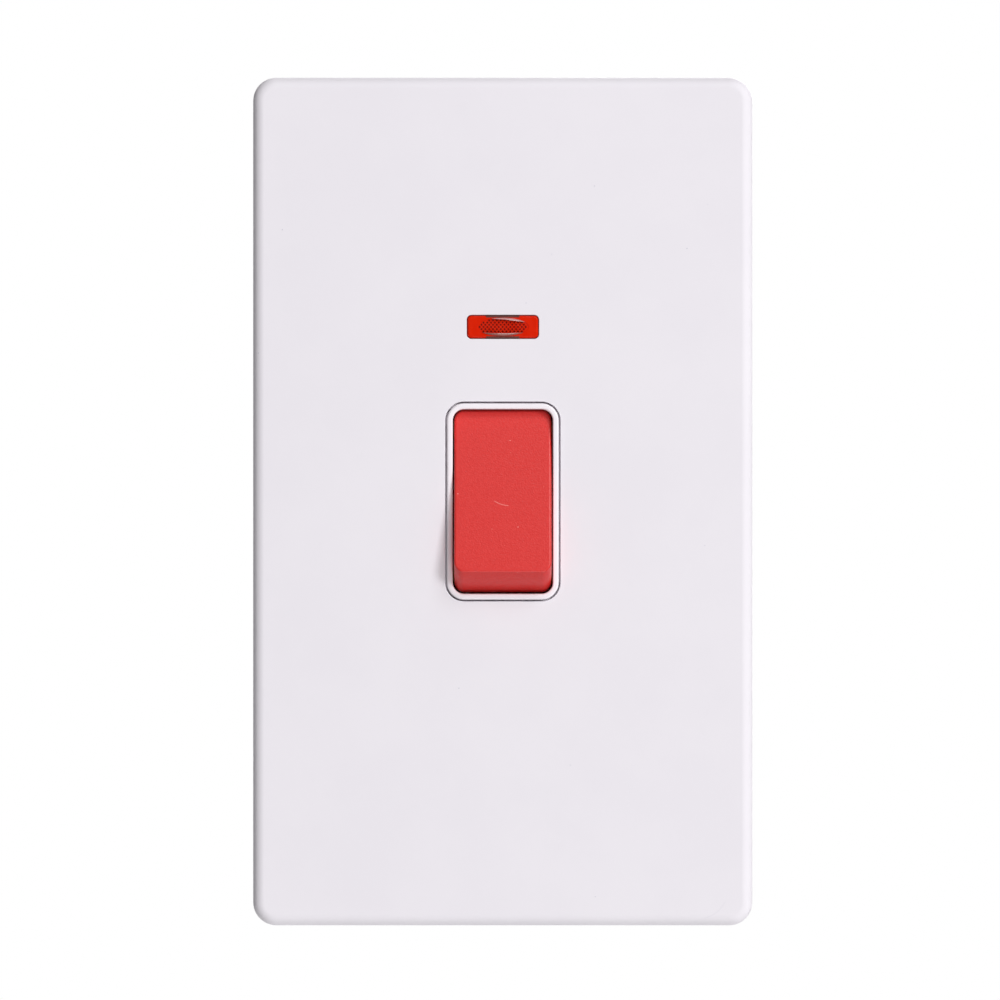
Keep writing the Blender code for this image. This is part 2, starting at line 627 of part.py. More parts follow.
def make_cover():
    cover = extrusion("switch_cover", [rounded_rectangle(COVER_WIDTH, COVER_HEIGHT, COVER_CORNER)],
                      "Y", COVER_FRONT, COVER_BACK)
    shoulder = rounded_rectangle(RIM_WIDTH + 2 * SHOULDER_WALL, RIM_HEIGHT + 2 * SHOULDER_WALL,
                                 RIM_CORNER + SHOULDER_WALL)
    rim = extrusion("rim", [rounded_rectangle(RIM_WIDTH, RIM_HEIGHT, RIM_CORNER,
                                              steps=CORNER_STEPS)],
                    "Y", RIM_FRONT, SHOULDER_FRONT + FUSE)
    soften(rim, RIM_FRONT, RIM_SOFT, 2)
    added = [extrusion("shoulder", [shoulder], "Y", SHOULDER_FRONT, COVER_FRONT + FUSE), rim]
    for side in (-1, 1):
        low_x, high_x = sorted((side * (CAVITY_HALF_WIDTH + SLIDE), side * (CRADLE_END - SLIDE)))
        added.append(block("trunnion_pad", (low_x, COVER_BACK - FUSE, -TRUNNION_RADIUS),
                           (high_x, PIVOT_Y - TRUNNION_RADIUS - SLIDE, TRUNNION_RADIUS)))
    for place in body_screw_places():
        added.append(along_y("boss", place, COVER_BACK - FUSE, BODY_SCREW_BOSS_BACK,
                             BODY_SCREW_BOSS))
    fuse(cover, *added)
    opening = rounded_rectangle(OPENING_WIDTH, OPENING_HEIGHT, OPENING_CORNER,
                                steps=CORNER_STEPS)
    cuts = [
        extrusion("opening", [opening], "Y", RIM_FRONT - CUT, COVER_BACK + CUT),
        rod("swing", (-OPENING_WIDTH / 2, PIVOT_Y, 0.0), (OPENING_WIDTH / 2, PIVOT_Y, 0.0),
            ROCKER_REACH + SWEEP_GAP, SWING_SIDES),
    ]
    for place in body_screw_places():
        cuts.append(along_y("pilot", place, COVER_BACK - PILOT_IN_FLANGE,
                            BODY_SCREW_BOSS_BACK + CUT, SCREW_RADIUS + SCREW_HOLE_GAP, ROUND_SMALL))
    for side in (-1, 1):
        for level in (-1, 1):
            place = (side * MODULE_SCREW_X, level * MODULE_SCREW_Z)
            cuts.append(along_y("hole", place, COVER_FRONT - CUT, COVER_BACK + CUT,
                                SCREW_RADIUS + SCREW_HOLE_GAP, ROUND_SMALL))
            cuts.append(along_y("head_recess", place, COVER_FRONT - CUT,
                                MODULE_HEAD_BACK + SEAT, SCREW_HEAD_RADIUS + SEAT))
    carve(cover, *cuts)
    dress(cover, WHITE)


def terminal_places():
    """Each clamp terminal's name, side and level: load at the top, supply at the bottom."""
    return [(f"{kind}_{hand}", side, level) for kind, level in (("load", 1), ("supply", -1))
            for hand, side in (("left", -1), ("right", 1))]


def make_body():
    body = extrusion("switch_body", [rounded_rectangle(BODY_WIDTH, BODY_HEIGHT, BODY_CORNER)],
                     "Y", BODY_FRONT, BODY_BACK)
    front, back = BODY_FRONT - CUT, BODY_BACK + CUT
    cuts = [block("rocker_cavity", (-CAVITY_HALF_WIDTH, front, -ROCKER_REACH - SWEEP_GAP),
                  (CAVITY_HALF_WIDTH, CAVITY_BACK, ROCKER_REACH + SWEEP_GAP))]
    for side in (-1, 1):
        wall = sorted((side * (CAVITY_HALF_WIDTH - FUSE), side * CRADLE_END))
        cuts.append(rod("cradle", (wall[0], PIVOT_Y, 0.0), (wall[1], PIVOT_Y, 0.0), CRADLE_RADIUS))
        cuts.append(block("cradle_slot", (wall[0], front, -CRADLE_RADIUS),
                          (wall[1], PIVOT_Y, CRADLE_RADIUS)))
        pole = sorted((side * BARRIER / 2, side * POLE_OUTER))
        cuts.append(block("pole_chamber", (pole[0], CAVITY_BACK - FUSE, -POLE_HALF_HEIGHT),
                          (pole[1], POLE_FLOOR, POLE_HALF_HEIGHT)))
        core = sorted((side * (CRADLE_END + BODY_WALL),
                       side * (BODY_SCREW_X - BODY_SCREW_HEAD_RADIUS - SEAT - CORE_WALL)))
        core_top = BLOCK_Z - BLOCK_LENGTH / 2 - SEAT - BODY_WALL
        cuts.append(block("core", (core[0], CORE_FRONT, -core_top), (core[1], back, core_top)))
        cuts.append(rod("lead_hole", (side * LEAD_ENTRY_X, LEAD_ENTRY_Y, BLOCK_Z),
                        (side * LEAD_ENTRY_X, LEAD_ENTRY_Y, BODY_HEIGHT / 2 + CUT),
                        LEAD_RADIUS + SLIDE, ROUND_SMALL))
    for _, side, level in terminal_places():
        inner = BLOCK_X - BLOCK_WIDTH / 2 - SEAT
        outer = BLOCK_X + BLOCK_WIDTH / 2 + SEAT
        near = BLOCK_Z - BLOCK_LENGTH / 2 - SEAT
        far = BLOCK_Z + BLOCK_LENGTH / 2 + SEAT
        xs = sorted((side * inner, side * outer))
        zs = sorted((level * near, level * far))
        cuts.append(block("pocket", (xs[0], front, zs[0]), (xs[1], BLOCK_BACK + SEAT, zs[1])))
        xs = sorted((side * (POLE_OUTER - FUSE), side * (inner + FUSE)))
        zs = sorted((level * near, level * (near + BRIDGE_HEIGHT + 2 * SEAT)))
        cuts.append(block("strap_slot", (xs[0], front, zs[0]), (xs[1], POLE_FLOOR, zs[1])))
        cuts.append(rod("cable_entry", (side * BLOCK_X, TUNNEL_Y, level * (far - CUT)),
                        (side * BLOCK_X, TUNNEL_Y, level * (BODY_HEIGHT / 2 + CUT)),
                        TUNNEL_RADIUS + ENTRY_GAP))
        cuts.append(along_y("well", (side * BLOCK_X, level * BLOCK_Z), BLOCK_BACK, back,
                            CLAMP_HEAD_RADIUS + WELL_GAP))
    for place in body_screw_places():
        cuts.append(along_y("boss_pocket", place, front, BODY_SCREW_BOSS_BACK + SEAT,
                            BODY_SCREW_BOSS + SLIDE))
        cuts.append(along_y("hole", place, front, back, SCREW_RADIUS + SCREW_HOLE_GAP,
                            ROUND_SMALL))
        cuts.append(along_y("head_recess", place, BODY_HEAD_FRONT - SEAT, back,
                            BODY_SCREW_HEAD_RADIUS + SEAT))
    carve(body, *cuts)
    dress(body, THERMOSET)


def make_rocker(carrier):
    centre = (0.0, 0.0)
    face_turn = math.degrees(math.atan2(HALF_CHORD, -ROCKER_FACE))
    skirt_turn = math.degrees(math.acos(ROCKER_SKIRT / ROCKER_REACH))
    ear_turn = math.degrees(math.acos(ROCKER_SKIRT / EAR_RADIUS))
    outline = (arc(centre, ROCKER_REACH, face_turn, skirt_turn, 5)
               + arc(centre, EAR_RADIUS, ear_turn, -ear_turn, 12)
               + arc(centre, ROCKER_REACH, -skirt_turn, -face_turn, 5))
    half = ROCKER_WIDTH / 2
    rocker = extrusion("rocker", [outline], "X", -half, half)
    bm = bmesh.new()
    bm.from_mesh(rocker.data)
    bmesh.ops.dissolve_limit(bm, angle_limit=math.radians(1), verts=bm.verts, edges=bm.edges)

    def on_end_arc(vert):
        return abs(math.hypot(vert.co.y, vert.co.z) - ROCKER_REACH) < 1e-6

    corners = [edge for edge in bm.edges if all(on_end_arc(v) for v in edge.verts)
               and edge.verts[0].co.x * edge.verts[1].co.x > 0
               and edge.verts[0].co.z * edge.verts[1].co.z > 0]
    bmesh.ops.bevel(bm, geom=corners, offset=ROCKER_CORNER, segments=4, profile=0.5,
                    affect="EDGES")
    bm.to_mesh(rocker.data)
    bm.free()
    soften(rocker, -ROCKER_FACE, ROCKER_FILLET, 2)

    inner_reach = ROCKER_REACH - ROCKER_WALL
    inner_face = -ROCKER_FACE + ROCKER_WALL
    inner_turn = math.degrees(math.acos(inner_face / inner_reach))
    behind = EAR_RADIUS + CUT
    hollow = (arc(centre, inner_reach, inner_turn, 90, 5)
              + [(behind, inner_reach), (behind, -inner_reach)]
              + arc(centre, inner_reach, -90, -inner_turn, 5))
    inner_half = half - ROCKER_WALL
    carve(rocker, extrusion("hollow", [hollow], "X", -inner_half, inner_half))

    bore = PLUNGER_RADIUS + SLIDE
    root = inner_face - FUSE
    added = [block("web", (-inner_half - FUSE, root, z - WEB_THICKNESS / 2),
                   (inner_half + FUSE, WEB_BACK, z + WEB_THICKNESS / 2))
             for z in (-HALF_CHORD / 2, 0.0, HALF_CHORD / 2)]
    for side in (-1, 1):
        added.append(along_y("tube", (side * POLE_X, 0.0), root, TUBE_BACK, bore + TUBE_WALL))
        added.append(rod("trunnion", (side * (half - FUSE), 0.0, 0.0),
                         (side * (half + TRUNNION_LENGTH), 0.0, 0.0), TRUNNION_RADIUS))
    fuse(rocker, *added)
    carve(rocker, *[along_y("bore", (side * POLE_X, 0.0), BORE_FRONT, TUBE_BACK + CUT, bore)
                    for side in (-1, 1)])
    dress(rocker, RED, carrier)


def make_plunger(hand, side, carrier):
    rounded = [(PLUNGER_RADIUS * math.cos(a), PLUNGER_TIP - PLUNGER_RADIUS
                + PLUNGER_RADIUS * math.sin(a)) for a in (math.radians(18 * i) for i in range(5))]
    profile = ([(0.0, PLUNGER_BASE), (PLUNGER_RADIUS - SLIDE, PLUNGER_BASE),
                (PLUNGER_RADIUS, PLUNGER_BASE + SLIDE)] + rounded + [(0.0, PLUNGER_TIP)])
    place = Matrix.Translation((side * POLE_X, 0.0, 0.0)) @ Matrix.Rotation(-math.pi / 2, 4, "X")
    dress(turned(f"plunger_{hand}", profile, place), ACETAL, carrier)


def make_plunger_spring(hand, side, carrier):
    coil = PLUNGER_RADIUS - SPRING_WIRE
    start = BORE_FRONT + SLIDE + SPRING_WIRE
    end = PLUNGER_BASE - SLIDE - SPRING_WIRE
    per_turn = 8
    count = SPRING_TURNS * per_turn
    points = []
    for index in range(count + 1):
        turn = 2 * math.pi * index / per_turn
        points.append((side * POLE_X + coil * math.cos(turn), start + (end - start) * index / count,
                       coil * math.sin(turn)))
    dress(wire(f"plunger_spring_{hand}", points, SPRING_WIRE), STEEL, carrier)


def make_lever(hand, side, carrier):
    """The V-shaped contact arm, with a round knuckle behind its bend."""
    sine, cosine = math.sin(LEVER_BEND), math.cos(LEVER_BEND)
    bend = Vector((-LEVER_APEX, 0.0))
    outline = [bend]
    for level, length in ((1, LEVER_UPPER), (-1, LEVER_LOWER)):
        end = bend + length * Vector((-sine, level * cosine))
        behind = end + LEVER_THICKNESS * Vector((cosine, level * sine))
        outline += [end, behind] if level > 0 else [behind, end]
        if level > 0:
            outline.append(bend + Vector((LEVER_THICKNESS / cosine, 0.0)))
    low, high = side * POLE_X - LEVER_WIDTH / 2, side * POLE_X + LEVER_WIDTH / 2
    lever = extrusion(f"contact_lever_{hand}", [[tuple(p) for p in outline]], "X", low, high)
    fuse(lever, rod("knuckle", (low, 0.0, 0.0), (high, 0.0, 0.0), KNUCKLE_RADIUS, 16))
    along = Vector((0.0, -sine, cosine))
    across = Vector((0.0, cosine, sine))
    seat = Vector((side * POLE_X, -LEVER_APEX, 0.0)) + TIP_ALONG * along
    carve(lever, rod("hole", seat - CUT * across, seat + 2 * CUT * across,
                     TIP_SHANK_RADIUS + SLIDE, ROUND_SMALL))
    dress(lever, COPPER, carrier)
    under = seat + (LEVER_THICKNESS + TIP_GAP) * across
    tip = rod(f"moving_contact_{hand}", under, under + TIP_HEIGHT * across, TIP_RADIUS)
    fuse(tip, rod("shank", seat + TIP_GAP * across, under + TIP_HEIGHT / 2 * across,
                  TIP_SHANK_RADIUS, ROUND_SMALL))
    dress(tip, SILVER, carrier)


def make_terminal(name, side, level):
    """A clamp terminal with the tongue that carries a contact or cradles a lever."""
    x, z = side * BLOCK_X, level * BLOCK_Z
    half_width, half_length = BLOCK_WIDTH / 2, BLOCK_LENGTH / 2
    kind, hand = name.split("_")
    terminal = block(f"{kind}_terminal_{hand}", (x - half_width, BLOCK_FRONT, z - half_length),
                     (x + half_width, BLOCK_BACK, z + half_length))
    soften(terminal, BLOCK_BACK, BLOCK_CHAMFER, 1)
    soften(terminal, BLOCK_FRONT, BLOCK_CHAMFER, 1)
    strap_back = STRAP_FRONT + STRAP_THICKNESS
    pad = sorted((side * (POLE_X - STRAP_WIDTH / 2), side * (POLE_X + STRAP_WIDTH / 2)))
    reach = sorted((side * (POLE_X - STRAP_WIDTH / 2), side * (BLOCK_X - half_width + FUSE)))
    bridge = sorted((level * BRIDGE_Z, level * (BRIDGE_Z + BRIDGE_HEIGHT)))
    pad_end = CONTACT_Z - TIP_RADIUS - FUSE if level > 0 else -SADDLE_HALF - FUSE
    pad_z = sorted((level * pad_end, level * (BRIDGE_Z + FUSE)))
    added = [block("bridge", (reach[0], STRAP_FRONT, bridge[0]), (reach[1], strap_back, bridge[1])),
             block("pad", (pad[0], STRAP_FRONT, pad_z[0]), (pad[1], strap_back, pad_z[1]))]
    if level < 0:
        added.append(block("saddle", (pad[0], ARM_REAR + SADDLE_FRONT_GAP, -SADDLE_HALF),
                           (pad[1], STRAP_FRONT + FUSE, SADDLE_HALF)))
        added.append(block("stop", (pad[0], ARM_REAR + SEAT, STOP_Z - STOP_HEIGHT / 2),
                           (pad[1], STRAP_FRONT + FUSE, STOP_Z + STOP_HEIGHT / 2)))
    fuse(terminal, *added)
    cuts = [rod("tunnel", (x, TUNNEL_Y, z - half_length - CUT), (x, TUNNEL_Y, z + half_length + CUT),
                TUNNEL_RADIUS),
            along_y("clamp_hole", (x, z), TUNNEL_Y, BLOCK_BACK + CUT,
                    CLAMP_RADIUS + CLAMP_HOLE_GAP)]
    if level < 0:
        cuts.append(rod("groove", (pad[0] - CUT, LEVER_Y, 0.0), (pad[1] + CUT, LEVER_Y, 0.0),
                        KNUCKLE_RADIUS + SLIDE))
    else:
        cuts.append(along_y("rivet_hole", (side * POLE_X, CONTACT_Z), STRAP_FRONT - CUT,
                            strap_back + CUT, TIP_SHANK_RADIUS + SLIDE, ROUND_SMALL))
    carve(terminal, *cuts)
    dress(terminal, BRASS)


def make_fixed_contact(hand, side):
    place = (side * POLE_X, CONTACT_Z)
    front = ARM_REAR + TIP_GAP + TIP_HEIGHT + CONTACT_GAP
    contact = along_y(f"fixed_contact_{hand}", place, front, STRAP_FRONT - TIP_GAP, TIP_RADIUS)
    fuse(contact, along_y("shank", place, front + TIP_GAP, STRAP_FRONT + STRAP_THICKNESS - TIP_GAP,
                          TIP_SHANK_RADIUS, ROUND_SMALL))
    dress(contact, SILVER)


def make_screw(name, place, seat, tip, shank_radius, head_radius, head, sides=ROUND):
    """A slotted screw along Y: its head stands on the seat, on the side away from its tip."""
    outwards = 1 if seat > tip else -1
    top = seat + outwards * head
    screw = along_y(name, place, *sorted((seat, top)), head_radius, sides)
    fuse(screw, along_y("shank", place, *sorted((seat + outwards * head / 2, tip)),
                        shank_radius, sides // 2))
    slot = sorted((top - outwards * SLOT_DEPTH, top + outwards * CUT))
    carve(screw, block("slot", (place[0] - head_radius - CUT, slot[0], place[1] - SLOT_WIDTH / 2),
                       (place[0] + head_radius + CUT, slot[1], place[1] + SLOT_WIDTH / 2)))
    dress(screw, STEEL)


def make_screws():
    for name, side, level in terminal_places():
        make_screw(f"clamp_screw_{name}", (side * BLOCK_X, level * BLOCK_Z), BLOCK_BACK + SEAT,
                   TUNNEL_Y + TUNNEL_RADIUS + CLAMP_RETRACT, CLAMP_RADIUS, CLAMP_HEAD_RADIUS,
                   CLAMP_HEAD)
    for number, place in enumerate(body_screw_places(), start=1):
        make_screw(f"body_screw_{number}", place, BODY_HEAD_FRONT,
                   COVER_BACK - PILOT_IN_FLANGE + SEAT, SCREW_RADIUS, BODY_SCREW_HEAD_RADIUS,
                   BODY_SCREW_HEAD, 20)
    corners = [(side * MODULE_SCREW_X, level * MODULE_SCREW_Z) for side in (-1, 1)
               for level in (-1, 1)]
    for number, place in enumerate(corners, start=1):
        make_screw(f"module_screw_{number}", place, MODULE_HEAD_BACK, MODULE_SCREW_BACK,
                   SCREW_RADIUS, SCREW_HEAD_RADIUS, SCREW_HEAD, 20)
    for word, level in (("top", 1), ("bottom", -1)):
        seat = FRAME_FRONT - SEAT
        make_screw(f"fixing_screw_{word}", (0.0, level * FIXING_Z), seat, seat + FIXING_LENGTH,
                   FIXING_RADIUS, FIXING_HEAD_RADIUS, FIXING_HEAD)
    make_screw("earth_screw", (0.0, EARTH_Z), EARTH_FRONT + EARTH_DEPTH + SEAT,
               EARTH_TUNNEL_Y + EARTH_TUNNEL_RADIUS + CLAMP_RETRACT, EARTH_SCREW_RADIUS,
               CLAMP_HEAD_RADIUS, CLAMP_HEAD)


def make_lens():
    front = PLATE_FRONT - LENS_PROUD
    flange_front = PLATE_INNER + SEAT
    flange_back = flange_front + LENS_FLANGE
    centre = (0.0, NEON_Z)
    width, height = LENS_WIDTH - 2 * LENS_GAP, LENS_HEIGHT - 2 * LENS_GAP
    lens = extrusion("neon_lens", [rounded_rectangle(width, height, LENS_CORNER - LENS_GAP, centre)],
                     "Y", front, flange_front + FUSE)
    soften(lens, front, 2 * LENS_GAP, 1)
    flange = rounded_rectangle(LENS_FLANGE_WIDTH, LENS_FLANGE_HEIGHT, HOLDER_WALL, centre)
    bm = bmesh.new()
    scale = Matrix.Diagonal((DOME_HALF_WIDTH, DOME_RISE, DOME_HALF_HEIGHT, 1.0))
    bmesh.ops.create_uvsphere(bm, u_segments=20, v_segments=10, radius=1.0,
                              matrix=Matrix.Translation((0.0, front, NEON_Z)) @ scale)
    fuse(lens, extrusion("flange", [flange], "Y", flange_front, flange_back),
         object_from("dome", bm))
    hollow = rounded_rectangle(width - 2 * LENS_WALL, height - 2 * LENS_WALL,
                               LENS_CORNER / 2, centre)
    carve(lens, extrusion("hollow", [hollow], "Y", front + LENS_WALL, flange_back + CUT))
    dress(lens, LENS_RED)


def make_holder():
    centre = (0.0, NEON_Z)
    outline = rounded_rectangle(HOLDER_WIDTH, HOLDER_HEIGHT, HOLDER_WALL, centre)
    holder = extrusion("neon_holder", [outline], "Y", HOLDER_FRONT, HOLDER_BACK)
    flange = rounded_rectangle(HOLDER_FLANGE_WIDTH, HOLDER_HEIGHT, HOLDER_WALL, centre)
    fuse(holder, extrusion("flange", [flange], "Y", HOLDER_FRONT, FRAME_FRONT - SEAT))
    inside = rounded_rectangle(HOLDER_WIDTH - 2 * HOLDER_WALL, HOLDER_HEIGHT - 2 * HOLDER_WALL,
                               HOLDER_WALL / 2, centre)
    cuts = [extrusion("inside", [inside], "Y", HOLDER_FRONT - CUT, HOLDER_FLOOR)]
    cuts += [along_y("lead_hole", (x, NEON_Z), HOLDER_FLOOR - CUT, HOLDER_BACK + CUT,
                     LEAD_RADIUS + SLIDE, ROUND_SMALL) for x in (-LEAD_SIDE, -RESISTOR_EXIT)]
    carve(holder, *cuts)
    dress(holder, FRAME_WHITE)


def make_neon():
    """The neon lamp and its resistor, lying across the holder."""
    bulge = LAMP_HALF_LENGTH - LAMP_RADIUS / 2
    rounded = [(LAMP_RADIUS * math.cos(a), bulge + LAMP_RADIUS / 2 * math.sin(a))
               for a in (math.radians(18 * i) for i in range(5))]
    profile = ([(0.0, -LAMP_HALF_LENGTH)] + [(r, -h) for r, h in reversed(rounded)] + rounded
               + [(0.0, LAMP_HALF_LENGTH)])
    along_x = Matrix.Rotation(math.pi / 2, 4, "Y")
    dress(turned("neon_lamp", profile, Matrix.Translation((0.0, LAMP_Y, NEON_Z)) @ along_x, 16),
          GLASS)
    end, waist = RESISTOR_HALF_LENGTH, RESISTOR_HALF_LENGTH / 2
    slim = 0.85 * RESISTOR_RADIUS
    half = [(slim, waist), (RESISTOR_RADIUS, 1.3 * waist), (RESISTOR_RADIUS, 0.93 * end),
            (slim, end)]
    profile = [(0.0, -end)] + [(r, -h) for r, h in reversed(half)] + half + [(0.0, end)]
    dress(turned("neon_resistor", profile,
                 Matrix.Translation((0.0, RESISTOR_Y, NEON_Z)) @ along_x, 16), CERAMIC)


def make_leads():
    """Wires from the lamp and the resistor to the load terminals."""
    lamp_end = LAMP_HALF_LENGTH + SEAT
    resistor_end = RESISTOR_HALF_LENGTH + SEAT
    z = NEON_Z
    link = [(lamp_end, LAMP_Y, z), (LEAD_SIDE - 0.0002, LAMP_Y + 0.0006, z),
            (LEAD_SIDE, LAMP_Y + 0.0019, z), (LEAD_SIDE - 0.0006, RESISTOR_Y - 0.0004, z),
            (LEAD_SIDE - 0.0017, RESISTOR_Y, z), (resistor_end, RESISTOR_Y, z)]
    dress(wire("lamp_link", smooth_route(link, 3), LEAD_RADIUS), STEEL)
    wall_z = BODY_HEIGHT / 2
    arrive = [(LEAD_ENTRY_X - 0.0006, LEAD_ENTRY_Y - 0.0018, z - 0.0003),
              (LEAD_ENTRY_X, LEAD_ENTRY_Y, wall_z + 0.0030),
              (LEAD_ENTRY_X, LEAD_ENTRY_Y, wall_z + 0.0005),
              (LEAD_ENTRY_X, LEAD_ENTRY_Y, BLOCK_Z + BLOCK_LENGTH / 2 + SEAT)]
    left = [(-lamp_end, LAMP_Y, z), (-LEAD_SIDE + 0.0003, LAMP_Y + 0.0006, z),
            (-LEAD_SIDE, LAMP_Y + 0.0022, z), (-LEAD_SIDE, HOLDER_FLOOR, z),
            (-LEAD_SIDE, HOLDER_BACK + 0.0015, z), (-LEAD_SIDE - 0.0020, HOLDER_BACK + 0.0065, z)]
    left += [(-x, y, height) for x, y, height in arrive]
    dress(wire("neon_lead_left", smooth_route(left, 3), LEAD_RADIUS), INSULATION)
    right = [(-resistor_end, RESISTOR_Y, z), (-RESISTOR_EXIT + 0.0003, RESISTOR_Y + 0.0004, z),
             (-RESISTOR_EXIT, HOLDER_FLOOR + 0.0002, z),
             (-RESISTOR_EXIT, HOLDER_BACK + 0.0008, z), (-0.0015, HOLDER_BACK + 0.0035, z),
             (0.0060, HOLDER_BACK + 0.0070, z)]
    right += arrive
    dress(wire("neon_lead_right", smooth_route(right, 3), LEAD_RADIUS), INSULATION)


def make_earth():
    half = EARTH_STRAP_WIDTH / 2
    finger = FINGER_WIDTH / 2
    finger_front = PLATE_INNER + SEAT
    strap = block("earth_strap", (-half, EARTH_STRAP_FRONT, EARTH_STRAP_BOTTOM),
                  (half, EARTH_STRAP_BACK, EARTH_STRAP_TOP))
    fuse(strap, block("stem", (-finger, finger_front, FINGER_Z),
                      (finger, EARTH_STRAP_BACK - FUSE, FINGER_Z + EARTH_STRAP_THICKNESS)),
         block("foot", (-finger, finger_front, FINGER_Z),
               (finger, finger_front + EARTH_STRAP_THICKNESS, FINGER_Z + FINGER_FOOT)))
    carve(strap, fixing_hole("fixing", -1, EARTH_STRAP_FRONT - CUT, CUT,
                             FIXING_RADIUS + FIXING_HOLE_GAP, FIXING_SLOT),
          along_y("rivet_hole", (0.0, EARTH_Z), EARTH_STRAP_FRONT - CUT, CUT,
                  EARTH_SPIGOT_RADIUS + SLIDE, ROUND_SMALL))
    dress(strap, STEEL)
    size = EARTH_SIZE / 2
    back = EARTH_FRONT + EARTH_DEPTH
    terminal = block("earth_terminal", (-size, EARTH_FRONT, EARTH_Z - size),
                     (size, back, EARTH_Z + size))
    soften(terminal, back, BLOCK_CHAMFER, 1)
    fuse(terminal, along_y("spigot", (0.0, EARTH_Z), EARTH_STRAP_FRONT - EARTH_STRAP_SINK,
                           EARTH_FRONT + FUSE, EARTH_SPIGOT_RADIUS, ROUND_SMALL))
    carve(terminal, rod("tunnel", (-size - CUT, EARTH_TUNNEL_Y, EARTH_Z),
                        (size + CUT, EARTH_TUNNEL_Y, EARTH_Z), EARTH_TUNNEL_RADIUS),
          along_y("clamp_hole", (0.0, EARTH_Z), EARTH_TUNNEL_Y, back + CUT,
                  EARTH_SCREW_RADIUS + CLAMP_HOLE_GAP))
    dress(terminal, BRASS)


def make_moving_pieces():
    rocker_pivot = pivot("rocker_pivot", (0.0, PIVOT_Y, 0.0), -ROCKER_TILT)
    make_rocker(rocker_pivot)
    for hand, side in (("left", -1), ("right", 1)):
        make_plunger(hand, side, rocker_pivot)
        make_plunger_spring(hand, side, rocker_pivot)
        lever_pivot = pivot(f"lever_pivot_{hand}", (0.0, LEVER_Y, 0.0), LEVER_SWING)
        make_lever(hand, side, lever_pivot)
        make_fixed_contact(hand, side)


make_front_plate()
make_support_frame()
make_cover()
make_body()
make_moving_pieces()
for terminal_name, terminal_side, terminal_level in terminal_places():
    make_terminal(terminal_name, terminal_side, terminal_level)
make_screws()
make_lens()
make_holder()
make_neon()
make_leads()
make_earth()
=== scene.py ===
"""Looks of a double pole switch with a neon indicator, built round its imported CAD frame.

The switch hangs on a wall: its face looks along -Y, +X is to its right and +Z is up. The wall
surface is the plane y = 0, and the origin is the middle of the two wall box fixing screws.
Lengths are in metres.
"""

from __future__ import annotations

import json
import logging
import math
from collections.abc import Callable, Iterator, Sequence
from contextlib import contextmanager
from dataclasses import dataclass
from enum import Enum
from functools import cache

import bmesh
import bpy
from mathutils import Matrix, Vector

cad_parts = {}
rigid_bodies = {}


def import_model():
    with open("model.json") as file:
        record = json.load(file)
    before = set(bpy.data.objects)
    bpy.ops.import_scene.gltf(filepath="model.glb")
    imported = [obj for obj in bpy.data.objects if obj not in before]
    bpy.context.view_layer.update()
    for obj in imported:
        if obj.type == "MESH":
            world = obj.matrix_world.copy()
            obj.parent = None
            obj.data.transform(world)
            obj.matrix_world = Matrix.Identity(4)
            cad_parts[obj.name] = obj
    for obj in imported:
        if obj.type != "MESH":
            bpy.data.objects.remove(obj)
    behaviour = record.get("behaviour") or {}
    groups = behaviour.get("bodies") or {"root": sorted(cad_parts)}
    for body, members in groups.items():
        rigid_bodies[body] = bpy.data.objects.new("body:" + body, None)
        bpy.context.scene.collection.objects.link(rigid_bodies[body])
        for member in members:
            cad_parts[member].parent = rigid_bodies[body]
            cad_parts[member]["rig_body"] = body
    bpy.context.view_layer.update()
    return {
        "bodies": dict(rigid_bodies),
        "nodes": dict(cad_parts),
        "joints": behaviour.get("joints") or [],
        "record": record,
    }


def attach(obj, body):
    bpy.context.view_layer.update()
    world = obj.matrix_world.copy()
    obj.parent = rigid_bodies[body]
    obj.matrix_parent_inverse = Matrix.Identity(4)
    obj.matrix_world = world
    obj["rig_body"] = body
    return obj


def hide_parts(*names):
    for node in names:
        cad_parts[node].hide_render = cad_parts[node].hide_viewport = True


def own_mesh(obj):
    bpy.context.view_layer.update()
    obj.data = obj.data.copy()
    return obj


LOG = logging.getLogger("double_pole_switch")
MM = 0.001
NEAR = 1e-6               # two places this close are the same
MERGE = 2e-6              # points this close become one

PLATE_FRONT = -0.006
NEON_Z = 0.030            # height of the neon, of its lens and of its lamp
PIVOT_Y = 0.0009          # depth of the rocker's axis, which runs along X
TILT = math.radians(-12)  # how the rocker stands at rest
POLE_X = 0.0045           # plungers and their tubes, from the middle
BORE_FRONT = -0.0045      # front end of the plungers' bores, from the rocker's axis
BOSS_X, BOSS_Z = 0.0195, 0.0208      # screws that hold the body to the cover
MODULE_X, MODULE_Z = 0.0259, 0.02    # screws that hold the cover to the frame
KNURL_PITCH = (0.00066, 0.00074)     # along X and Z
FADE = 0.12               # share of a scratch's box over which it fades out at each side

Point = Sequence[float]
Colour = tuple[float, float, float]
Test = Callable[[object], bool]


class Axis(Enum):
    """The part's three directions, as indices of a coordinate."""

    X = 0
    Y = 1
    Z = 2


class Element(Enum):
    """What an edit works on."""

    EDGE = "EDGE"
    FACE = "FACE"


class Hand(Enum):
    """Left and right pole, seen from the front."""

    LEFT = -1
    RIGHT = 1

    @property
    def word(self) -> str:
        """The hand as it stands in names."""
        return self.name.lower()


class Body(Enum):
    """The bodies that pieces ride on."""

    HOUSING = "housing"
    ROCKER = "rocker"
    PLUNGER_LEFT = "plunger_left"
    PLUNGER_RIGHT = "plunger_right"
    LEVER_LEFT = "lever_left"
    LEVER_RIGHT = "lever_right"


